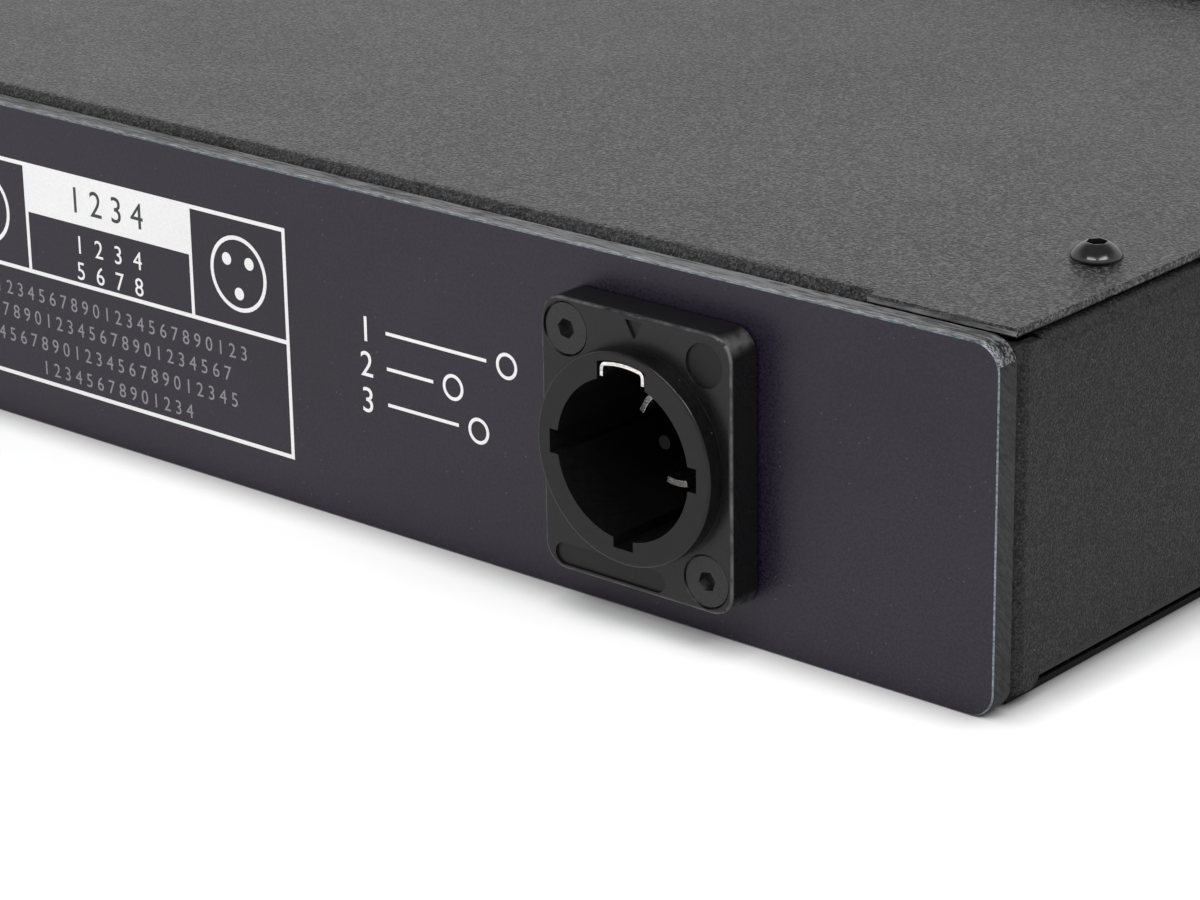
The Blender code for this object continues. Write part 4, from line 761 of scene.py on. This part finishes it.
# %% [markdown]
# The rear panel is a 3 mm plate. It starts as a box, the four upright corners are rounded, and the
# outline of the outer face gets a narrow flat chamfer, the bright line that the milling cutter leaves. The
# chamfer and the sawn sides get finishes of their own, picked by where the faces look.

# %% Rear panel
BODY_HALF = PANEL_HIGH.x
REAR_HEIGHT = PANEL_HIGH.z
CORNER = 3.0 * MM
CHAMFER = 0.14 * MM
LINE_DEPTH = 0.4 * MM
SOCKET_HOLE = 12.0 * MM
SCREW_HOLE = 1.7 * MM
THROUGH = 9.0 * MM


def panel_finishes(item, outer, top):
    """The face, the chamfer, the sides and the top of a plate; outer is the y of its outer face."""
    paint(item, anodised, milled_line, milled_side, top)
    for face in item.data.polygons:
        away = abs(face.center.y - outer)
        if abs(face.normal.y) > 0.9:
            face.material_index = 0
        elif away < LINE_DEPTH:
            face.material_index = 1
        # Faces that look up; on the rear plate a lighter copy, painted light from above.
        elif face.normal.z > 0.25:
            face.material_index = 3
        else:
            face.material_index = 2


rear_plate = block("rear_plate", (-BODY_HALF, REAR_BACK, 0.0), (BODY_HALF, REAR_FACE, REAR_HEIGHT))
round_edges(rear_plate, along_depth, CORNER, 12)
round_edges(rear_plate, in_plane(REAR_FACE), CHAMFER, 1)
for place in [INLET, INPUT] + OUTPUTS:
    cut(rear_plate, rod("hole", place, SOCKET_HOLE, -THROUGH, THROUGH, sides=64))
    for step in FIXINGS:
        cut(rear_plate, rod("hole", place + step, SCREW_HOLE, -THROUGH, THROUGH, sides=24))
smooth(rear_plate)
panel_finishes(rear_plate, REAR_FACE, milled_top_painted_light)
placed(rear_plate, "panel", "rear_panel")
print("rear plate:", len(rear_plate.data.polygons), "faces")

# %% [markdown]
# The mains inlet is what the picture is about. Its flange is a rounded box with a soft front edge, the
# collar is a short cylinder fused on, and the bore is cut with a tool made of a cylinder, two bars and an
# arch. The two screw seats are cut by a cylinder whose inner end is drawn in to a cone, with extrude and
# resize. With such plain solids, every form has a size and a place of its own that can be measured.

# %% Inlet moulding
SEAT = 0.3 * MM
INLET_FLANGE = 4.5 * MM
INLET_COLLAR = 6.7 * MM
INLET_REAR = -16.3 * MM
FLANGE_HALF = Vector((13.0 * MM, 0.0, 15.5 * MM))
FLANGE_CORNER = 2.9 * MM
FLANGE_EDGE = 0.45 * MM
COLLAR_RADIUS = 11.85 * MM
COLLAR_EDGE = 0.35 * MM
TUBE_RADIUS = 11.7 * MM
BORE_RADIUS = 9.0 * MM
SEAT_RIM = 3.05 * MM
SEAT_DROP = 0.35 * MM


def screw_seat(place, face):
    """Cutter for a countersunk hole: a rim, a cone drawn in from it, and the hole behind."""
    made = rod("seat", place, SEAT_RIM, face - SEAT_DROP, face + 3.0 * MM, sides=48)
    inner = place.y + face - SEAT_DROP
    shrink = SCREW_HOLE / SEAT_RIM
    pick_faces(made, lambda centre, normal: abs(centre.y - inner) < 0.01 * MM and normal.y < -0.9)
    pull(0.0, SCREW_HOLE - SEAT_RIM, 0.0)
    bpy.ops.transform.resize(value=(shrink, 1.0, shrink), center_override=(place.x, inner, place.z))
    pull(0.0, -face - 4.0 * MM, 0.0)
    leave()
    return made


def keyed_bore(place, low, high):
    """Cutter for the inlet's bore: a cylinder, three narrow grooves and a wide arched one on top."""
    made = rod("bore", place, BORE_RADIUS, low, high)
    narrow, reach, wide, top = 1.35 * MM, 10.05 * MM, 3.25 * MM, 10.85 * MM
    for x, z in ((reach, narrow), (narrow, reach)):
        highest = z if x > z else 0.0
        fuse(made, block("bar", place + Vector((-x, low, -z)), place + Vector((x, high, highest))))
    arch = rod("arch", place, top, low, high)
    beyond = 2 * top
    for x0, x1, z1 in ((-beyond, -wide, beyond), (wide, beyond, beyond), (-beyond, beyond, 0.0)):
        start, end = Vector((x0, low - MM, -beyond)), Vector((x1, high + MM, z1))
        cut(arch, block("waste", place + start, place + end))
    return fuse(made, arch)


inlet = block("inlet_moulding", INLET - FLANGE_HALF + Vector((0, SEAT, 0)),
              INLET + FLANGE_HALF + Vector((0, INLET_FLANGE, 0)))
round_edges(inlet, along_depth, FLANGE_CORNER, 10)
round_edges(inlet, in_plane(REAR_FACE + INLET_FLANGE), FLANGE_EDGE, 4)
collar = rod("collar", INLET, COLLAR_RADIUS, 2.0 * MM, INLET_COLLAR)
round_edges(collar, in_plane(REAR_FACE + INLET_COLLAR), COLLAR_EDGE, 3)
fuse(inlet, collar)
fuse(inlet, rod("tube", INLET, TUBE_RADIUS, INLET_REAR, 3.0 * MM))
cut(inlet, keyed_bore(INLET, INLET_REAR - MM, INLET_COLLAR + MM))
for step in FIXINGS:
    cut(inlet, screw_seat(INLET + step, INLET_FLANGE))
print("inlet moulding:", len(inlet.data.polygons), "faces")

# %% [markdown]
# A real flange has raised words and a round mark. Here the same places are bare: an arrow, a disc and an
# oval are cut in by a third of a millimetre. Then the faces get their finishes by how far they stand out
# from the panel and how far they lie from the bore's axis.

# %% Recesses in the inlet's flange
RECESS = 0.30 * MM
ARROW_SIDE = 2.4 * MM
DISC_RADIUS = 2.45 * MM
OVAL_ROUND = 1.24 * MM
MOULD_EDGE = 0.07 * MM
BORE_REACH = 10.95 * MM
SCREW_REACH = 3.3 * MM
arrow_place = INLET + Vector((0.0, INLET_FLANGE, 14.1 * MM))
bpy.ops.mesh.primitive_cylinder_add(vertices=3, radius=ARROW_SIDE / math.sqrt(3.0), depth=2 * RECESS,
                                    location=arrow_place, rotation=(math.pi / 2, math.pi, 0.0))
arrow = named("arrow")
print("arrow corners z:", sorted({round((v.co.z - INLET.z) / MM, 2) for v in arrow.data.vertices}))
cut(inlet, arrow)
disc_place = INLET + Vector((-9.4 * MM, 0.0, 11.9 * MM))
cut(inlet, rod("disc", disc_place, DISC_RADIUS, INLET_FLANGE - RECESS, INLET_FLANGE + MM, sides=48))
oval_low = INLET + Vector((-3.9 * MM, INLET_FLANGE - RECESS, -14.95 * MM))
oval_high = INLET + Vector((11.5 * MM, INLET_FLANGE + MM, -12.45 * MM))
oval = block("oval", oval_low, oval_high)
round_edges(oval, along_depth, OVAL_ROUND, 8)
cut(inlet, oval)
soften(inlet, MOULD_EDGE, 2, 40.0)
smooth(inlet)
paint(inlet, inlet_plastic, smooth_plastic, bore_plastic_painted_shade, recess_plastic_painted_shade)
# The bore and the recesses get the darker copies: painted shade.
for face in inlet.data.polygons:
    x, z = face.center.x - INLET.x, face.center.z - INLET.z
    proud, out = face.center.y - INLET.y, math.hypot(x, z)
    if out < BORE_REACH and abs(face.normal.y) < 0.5 and proud < INLET_COLLAR - 0.1 * MM:
        face.material_index = 2
    elif proud > INLET_FLANGE + 0.1 * MM:
        face.material_index = 1
    elif INLET_FLANGE - RECESS - 0.02 * MM < proud < INLET_FLANGE - 0.08 * MM:
        in_flange = abs(x) < 12.0 * MM and abs(z) < 14.97 * MM
        by_screw = min(math.hypot(x - step.x, z - step.z) for step in FIXINGS) < SCREW_REACH
        if in_flange and not by_screw:
            face.material_index = 3
placed(inlet, "inlet_plastic", "inlet_housing")
print("finished inlet:", len(inlet.data.polygons), "faces")

# %% [markdown]
# The flange screws are countersunk and sit a little below the face. A cylinder is the head: its outer
# rim is bevelled, a hexagon is cut into it, and its inner end is drawn in and pulled out as the shank. The
# signal sockets have the same screw, so one is made and copied nine times.

# %% Flange screws
HEX = 2.0 * MM / math.sqrt(3.0)
FLUSH_HEAD = 2.85 * MM
FLUSH_RIM = 0.3 * MM
FLUSH_DROP = 0.15 * MM
FLUSH_CONE = 1.4 * MM
FLUSH_SHANK = 8.0 * MM
SHANK_SHARE = 0.51


def hex_cut(item, place, axis, low, high, turn):
    """Cuts a hexagon socket whose corners are turned by an angle."""
    key = rod("key", (0, 0, 0), HEX, low, high, "Z", sides=6)
    key.rotation_euler = (0.0, 0.0, turn)
    settled(key).rotation_euler = TURN[axis]
    key.location = place
    return cut(item, settled(key))


def countersunk(name, place, face, turn):
    """A countersunk screw whose head lies just below a flange's face."""
    top = face - FLUSH_DROP
    made = rod(name, place, FLUSH_HEAD, top - FLUSH_RIM, top, sides=64)
    inner = place.y + top - FLUSH_RIM
    pick_faces(made, lambda centre, normal: normal.y < -0.9)
    pull(0.0, -FLUSH_CONE, 0.0)
    bpy.ops.transform.resize(value=(SHANK_SHARE, 1.0, SHANK_SHARE), center_override=(place.x, inner, place.z))
    pull(0.0, -FLUSH_SHANK, 0.0)
    leave()
    round_edges(made, in_plane(place.y + top), 0.08 * MM, 2)
    hex_cut(made, place, "Y", top - 1.1 * MM, top + MM, turn)
    soften(made, 0.04 * MM, 2, 50.0)
    smooth(made)
    return paint(made, black_steel)


for number, step in enumerate(FIXINGS, 1):
    screw = countersunk(f"inlet_flange_screw_{number}", INLET + step, INLET_FLANGE, 0.35 * number)
    placed(screw, "screw_steel", f"inlet_screw_{number}")
SIGNAL_FLANGE = 3.3 * MM
places = [place + step for place in [INPUT] + OUTPUTS for step in FIXINGS]
first = countersunk("signal_screw_0_1", places[0], SIGNAL_FLANGE, 0.2)
placed(first, "screw_steel")
for number, place in enumerate(places[1:], 1):
    screw = twin(first, f"signal_screw_{number // 2}_{number % 2 + 1}", place - places[0])
    placed(screw, "screw_steel")
print("flange screws:", len(FIXINGS) + len(places))

# %% [markdown]
# The cover's screws have button heads. The dome is part of a sphere: the top face is pulled up and drawn in
# ring by ring, to radii worked out from the sphere through the head's rim and its small flat.

# %% Cover screws
HEAD = 2.8 * MM
HEAD_HEIGHT = 1.65 * MM
RIM = 0.25 * MM
FLAT = 1.2 * MM
SHANK = 1.45 * MM
SHANK_LENGTH = 6.0 * MM
DOME_STEPS = 8


def button_head(name, node_name):
    """A domed screw head on the cover, with its shank."""
    low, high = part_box(node_name)
    place = Vector(((low.x + high.x) / 2, (low.y + high.y) / 2, high.z - HEAD_HEIGHT))
    made = rod(name, place, HEAD, 0.0, RIM, "Z", sides=64)
    pick_faces(made, lambda centre, normal: normal.z > 0.9)
    rise = HEAD_HEIGHT - RIM
    sink = (HEAD ** 2 - FLAT ** 2 - rise ** 2) / (2 * rise)
    dome = math.hypot(HEAD, sink)
    lowest, highest = math.asin(HEAD / dome), math.asin(FLAT / dome)
    previous_radius, previous_height = HEAD, RIM
    for step in range(1, DOME_STEPS + 1):
        turn = lowest + (highest - lowest) * step / DOME_STEPS
        radius = dome * math.sin(turn)
        height = RIM - sink + dome * math.cos(turn)
        pull(0.0, 0.0, height - previous_height)
        factor = radius / previous_radius
        bpy.ops.transform.resize(value=(factor, factor, 1.0), center_override=place)
        previous_radius, previous_height = radius, height
    leave()
    pick_faces(made, lambda centre, normal: normal.z < -0.9)
    bpy.ops.mesh.inset(thickness=HEAD - SHANK)
    pull(0.0, 0.0, -SHANK_LENGTH)
    leave()
    hex_cut(made, place, "Z", HEAD_HEIGHT - 1.05 * MM, HEAD_HEIGHT + MM, 0.3)
    soften(made, 0.05 * MM, 2, 45.0)
    smooth(made, 35.0)
    return paint(made, glossy_steel)


for number in (1, 2, 3, 4):
    screw = button_head(f"cover_button_{number}", f"cover_screw_{number}")
    placed(screw, "screw_steel", f"cover_screw_{number}")
print("cover screws: 4, each with a dome in", DOME_STEPS, "steps")

# %% [markdown]
# The folded sheets are right as they are in the CAD, with their bends, lugs and reliefs. Refining gives
# their cut edges the small radius that powder coat leaves, and the bends a smooth turn. On the cover, the
# rear bend and the cut edge along its top are picked by where their faces look and lie. The bend gets a
# darker copy of the coat, painted shade, and the edge a lighter finish in fine lines, a painted highlight.

# %% Sheet metal
SHEET_WELD = 0.1 * MM
COAT_RADIUS = 0.26 * MM
SHORTEST_CUT = 2.0 * MM
EDGE_HIGHLIGHT_DEPTH = 1.1 * MM
cover_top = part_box("top_cover")[1].z
for node_name, name, looks in (
    ("top_cover", "cover_sheet", (powder, painted_edge_highlight, powder_shaded_bend)),
    ("bottom_sheet", "floor_sheet", (powder_shaded_underside,)),
    ("side_channel_right", "right_channel", (powder_shaded_side,)),
    ("side_channel_left", "left_channel", (powder_shaded_side,)),
):
    sheet = refined(name, node_name, 0.0, weld=SHEET_WELD)
    rounded = round_cuts(sheet, COAT_RADIUS, SHORTEST_CUT)
    smooth(sheet, 50.0)
    paint(sheet, *looks)
    if len(looks) > 1:
        # Rear cut edge near the top: painted highlight; the rest of the rear bend: darker copy, painted
        # shade.
        for face in sheet.data.polygons:
            if face.normal.y > 0.95 and face.center.z > cover_top - EDGE_HIGHLIGHT_DEPTH:
                face.material_index = 1
            elif face.normal.y > 0.3:
                face.material_index = 2
    placed(sheet, "sheet_metal", node_name)
    print(name, len(sheet.data.polygons), "faces,", rounded, "edges rounded")

# %% [markdown]
# The inlet's floor with its post and the three contacts lie deep in the bore, and the signal sockets are
# small castings round plastic cores. The CAD has their forms, so softer edges and a finish are enough. Each
# release tab moves, so it rides on its own body.

# %% Contacts and signal sockets
INLET_EDGE = 0.09 * MM
SHELL_EDGE = 0.12 * MM
CORE_EDGE = 0.1 * MM
TAB_EDGE = 0.2 * MM
# The inlet's floor and post get the darker copy: painted shade.
dressed("inlet_insert", "inlet_floor", post_plastic_painted_shade, "inlet_plastic", INLET_EDGE, 2, 50.0, 50.0)
for pole, name in (("earth", "earth_strip"), ("line", "line_blade"), ("neutral", "neutral_blade")):
    dressed(f"inlet_{pole}_contact", name, bright_metal, "contact_metal", INLET_EDGE, 2, 50.0, 50.0)
dressed("input_shell", "input_casting", shell_metal, "socket_shell", SHELL_EDGE)
dressed("input_insert", "input_core", insert_plastic, "insert_plastic", CORE_EDGE)
for n in (1, 2, 3):
    dressed(f"input_pin_{n}", f"input_contact_{n}", bright_metal, "contact_metal")
for n in (1, 2, 3, 4):
    dressed(f"output_shell_{n}", f"output_casting_{n}", shell_metal, "socket_shell", SHELL_EDGE)
    dressed(f"output_insert_{n}", f"output_core_{n}", insert_plastic, "insert_plastic", CORE_EDGE)
    tab = f"release_tab_{n}"
    dressed(f"output_latch_{n}", tab, latch_steel, "latch_metal", TAB_EDGE, 3, body=tab)
print("sockets dressed:", 1 + len(OUTPUTS), "and the inlet's contacts")

# %% [markdown]
# The front panel is anodised like the rear one. Its switch is a frame with a rocker that tilts, so the
# rocker rides on a body of its own. The lamps are tinted lenses.

# %% Front panel, switch and lamps
front_plate = refined("front_plate", "front_panel", 0.0)
panel_finishes(front_plate, FRONT_FACE, milled_side)
placed(front_plate, "panel", "front_panel")
dressed("switch_body", "switch_frame", switch_plastic, "switch_plastic", 0.25 * MM, 3)
dressed("switch_rocker", "rocker", rocker_plastic, "rocker_plastic", 0.4 * MM, 3, body="power_rocker")
lamps = [name for name in frame["nodes"] if name.startswith("lamp_") and name != "lamp_board"]
for node_name in lamps:
    dressed(node_name, node_name.replace("lamp_", "lens_"), lens_green, "lamp_lens")
print("lamps:", len(lamps))

# %% [markdown]
# The boards, the leads and what else is inside keep the CAD's own meshes, since the closed case hides them.
# They only get finishes, found by how the nodes' names start.

# %% Inside the case
INSIDE = {
    "lamp_board": board_green, "supply_board": board_green, "splitter_board": board_green,
    "supply_transformer": component_case, "supply_capacitor": can_sleeve, "supply_terminal": terminal_green,
    "relay_": component_case, "earth_nut": zinc, "switch_terminal": bright_metal, "lead_live": brown_sleeve,
    "lead_switched": brown_sleeve, "lead_neutral": blue_sleeve, "lead_earth": green_sleeve,
}
inner = [(name, look) for start, look in INSIDE.items() for name in frame["nodes"] if name.startswith(start)]
for node_name, look in inner:
    paint(frame["nodes"][node_name], look)
print("painted inside:", len(inner))

# %% [markdown]
# The printing. Nothing that was printed on the real one is copied. In the places of its rating and its
# notice there are generic marks: plain numbers, lines and pin dots. Each text is made a mesh with a
# little thickness, so that it lies on the panel as ink does.

# %% Printing helpers
INK = 0.02 * MM


def lettering(name, words, size, x, z, ink, rear=True, align="LEFT"):
    """Plain figures on a panel: x is where the line starts as it is read, z its foot."""
    bpy.ops.object.text_add(location=(0, 0, 0))
    item = bpy.context.object
    item.data.body = words
    item.data.size = size
    item.data.extrude = INK
    item.data.resolution_u = 4
    item.data.align_x = align
    bpy.ops.object.convert(target="MESH")
    item = bpy.context.object
    item.rotation_euler = (math.pi / 2, 0.0, math.pi if rear else 0.0)
    item.location = (x, REAR_FACE if rear else FRONT_FACE, z)
    return paint(named(name), ink)


def bar(name, x0, z0, x1, z1, ink, y=REAR_FACE):
    """A printed rectangle on a face at y."""
    return paint(block(name, (min(x0, x1), y - INK, min(z0, z1)), (max(x0, x1), y + INK, max(z0, z1))), ink)


def ring(name, x, z, radius, line, ink, y=REAR_FACE):
    """A printed circle, as a flat ring."""
    made = rod(name, (x, y, z), radius, -INK, INK, sides=40)
    cut(made, rod("inside", (x, y, z), radius - line, -MM, MM, sides=40))
    return paint(made, ink)


def joined(name, items, slot="panel", body=CHASSIS):
    """Joins printed marks into one piece."""
    print(name, "from", len(items), "marks")
    bpy.ops.object.select_all(action="DESELECT")
    for item in items:
        item.select_set(True)
    bpy.context.view_layer.objects.active = items[0]
    bpy.ops.object.join()
    items[0].name = items[0].data.name = name
    return placed(items[0], slot, body=body)


def along(x_photo):
    """Turns a distance from the panel's end, as measured in the picture, into x."""
    return -BODY_HALF - x_photo * MM


print("printing helpers ready, ink", round(2 * INK / MM, 3), "mm thick")

# %% Legend by the inlet
FIGURE = 4.3 * MM
start = along(-87.5)
legend = []
for row, (foot, width, words) in enumerate(((22.5, 24.4, "1"), (18.3, 16.3, "2"), (14.0, 20.0, "3"))):
    end = start - (width - 5.0) * MM
    dot = start - (width - 2.0) * MM
    legend.append(lettering(f"figure_{row}", words, FIGURE, start, foot * MM, white_ink))
    low, high = (foot + 1.35) * MM, (foot + 1.75) * MM
    legend.append(bar(f"rule_{row}", start - 4.2 * MM, low, end, high, white_ink))
    legend.append(ring(f"dot_{row}", dot, (foot + 1.55) * MM, 1.55 * MM, 0.4 * MM, white_ink))
joined("contact_legend", legend)

# %% Framed chart
LEFT, RIGHT, LOW, HIGH = along(-158.7), along(-98.7), 5.4 * MM, 33.4 * MM
LINE = 0.5 * MM
RULE = 19.4 * MM
BLOCK_LOW = 27.2 * MM
columns = (along(-143.0), along(-114.5))
middle_x = (columns[0] + columns[1]) / 2
half = LINE / 2
bars = [
    ("edge", LEFT, LOW, RIGHT, LOW + LINE), ("edge", LEFT, HIGH - LINE, RIGHT, HIGH),
    ("edge", LEFT, LOW + LINE, LEFT - LINE, HIGH - LINE),
    ("edge", RIGHT + LINE, LOW + LINE, RIGHT, HIGH - LINE),
    ("rule", LEFT - LINE, RULE, RIGHT + LINE, RULE + LINE),
    ("column", columns[0] + half, RULE + LINE, columns[0] - half, HIGH - LINE),
    ("column", columns[1] + half, RULE + LINE, columns[1] - half, HIGH - LINE),
    ("block", columns[0] - half, BLOCK_LOW, columns[1] + half, HIGH - LINE),
]
chart = [bar(*measures, white_ink) for measures in bars]
POLE_CIRCLE = 2.4 * MM
centre = (RULE + HIGH) / 2
for x in ((LEFT + columns[0]) / 2, (RIGHT + columns[1]) / 2):
    chart.append(ring("socket", x, centre, 4.6 * MM, 0.5 * MM, white_ink))
    for angle in (40.0, 140.0, 270.0):
        turn = math.radians(angle)
        place = (x + POLE_CIRCLE * math.cos(turn), centre + POLE_CIRCLE * math.sin(turn))
        chart.append(ring("pole", *place, 0.75 * MM, 0.74 * MM, white_ink))
for foot, words in ((23.6, "1  2  3  4"), (20.3, "5  6  7  8")):
    chart.append(lettering("channel", words, 3.2 * MM, middle_x, foot * MM, white_ink, align="CENTER"))
joined("channel_chart", chart)

# %% Figures in and under the chart
block_words = lettering("block_figures", "1 2 3 4", 4.6 * MM, middle_x, 28.7 * MM, dark_ink, align="CENTER")
for vertex in block_words.data.vertices:
    vertex.co.y += INK / 2
placed(block_words, "panel")
centre = (LEFT + RIGHT) / 2
small = []
for row, (foot, count) in enumerate(((15.9, 24), (12.9, 21), (9.8, 22), (6.7, 14))):
    words = " ".join(str((row * 7 + n) % 10) for n in range(count))
    small.append(lettering(f"small_{row}", words, 2.5 * MM, centre, foot * MM, pale_ink, align="CENTER"))
joined("small_figures", small)
outputs = []
for n, place in enumerate(OUTPUTS, 1):
    outputs.append(lettering(f"output_{n}", str(n), FIGURE, place.x + 17.0 * MM, 30.5 * MM, white_ink))
joined("output_figures", outputs)

# %% Printing on the front panel
front_marks = []
for n in (1, 2, 3, 4):
    x = middle(f"lamp_output_{n}").x
    front_marks.append(lettering(f"front_{n}", str(n), 4.0 * MM, x, 29.0 * MM, white_ink, False, "CENTER"))
joined("front_figures", front_marks)

# %% [markdown]
# The rocker carries the usual two marks: a bar on its upper half, which is pressed in at rest, and a circle
# on the lower one. Each is made flat, leaned to the slope of its half and moved onto it.

# %% Marks on the rocker
MARK_RADIUS = 1.3 * MM
MARK_LINE = 0.4 * MM
rocker_face = bpy.data.objects["rocker"].data
outward = [face for face in rocker_face.polygons if face.normal.y < -0.8]
halves = sorted(outward, key=lambda face: face.area)[-2:]
rocker_marks = []
for half in halves:
    if half.center.z > middle("switch_rocker").z:
        mark = bar("bar_mark", -MARK_LINE / 2, -MARK_RADIUS, MARK_LINE / 2, MARK_RADIUS, white_ink, 0.0)
    else:
        mark = ring("circle_mark", 0.0, 0.0, MARK_RADIUS, MARK_LINE, white_ink, 0.0)
    mark.rotation_euler.x = math.atan2(-half.normal.z, -half.normal.y)
    mark.location = half.center
    rocker_marks.append(settled(mark))
    print(mark.name, [round(value / MM, 2) for value in half.center], "slope", round(half.normal.z, 3))
joined("rocker_marks", rocker_marks, "rocker_plastic", "power_rocker")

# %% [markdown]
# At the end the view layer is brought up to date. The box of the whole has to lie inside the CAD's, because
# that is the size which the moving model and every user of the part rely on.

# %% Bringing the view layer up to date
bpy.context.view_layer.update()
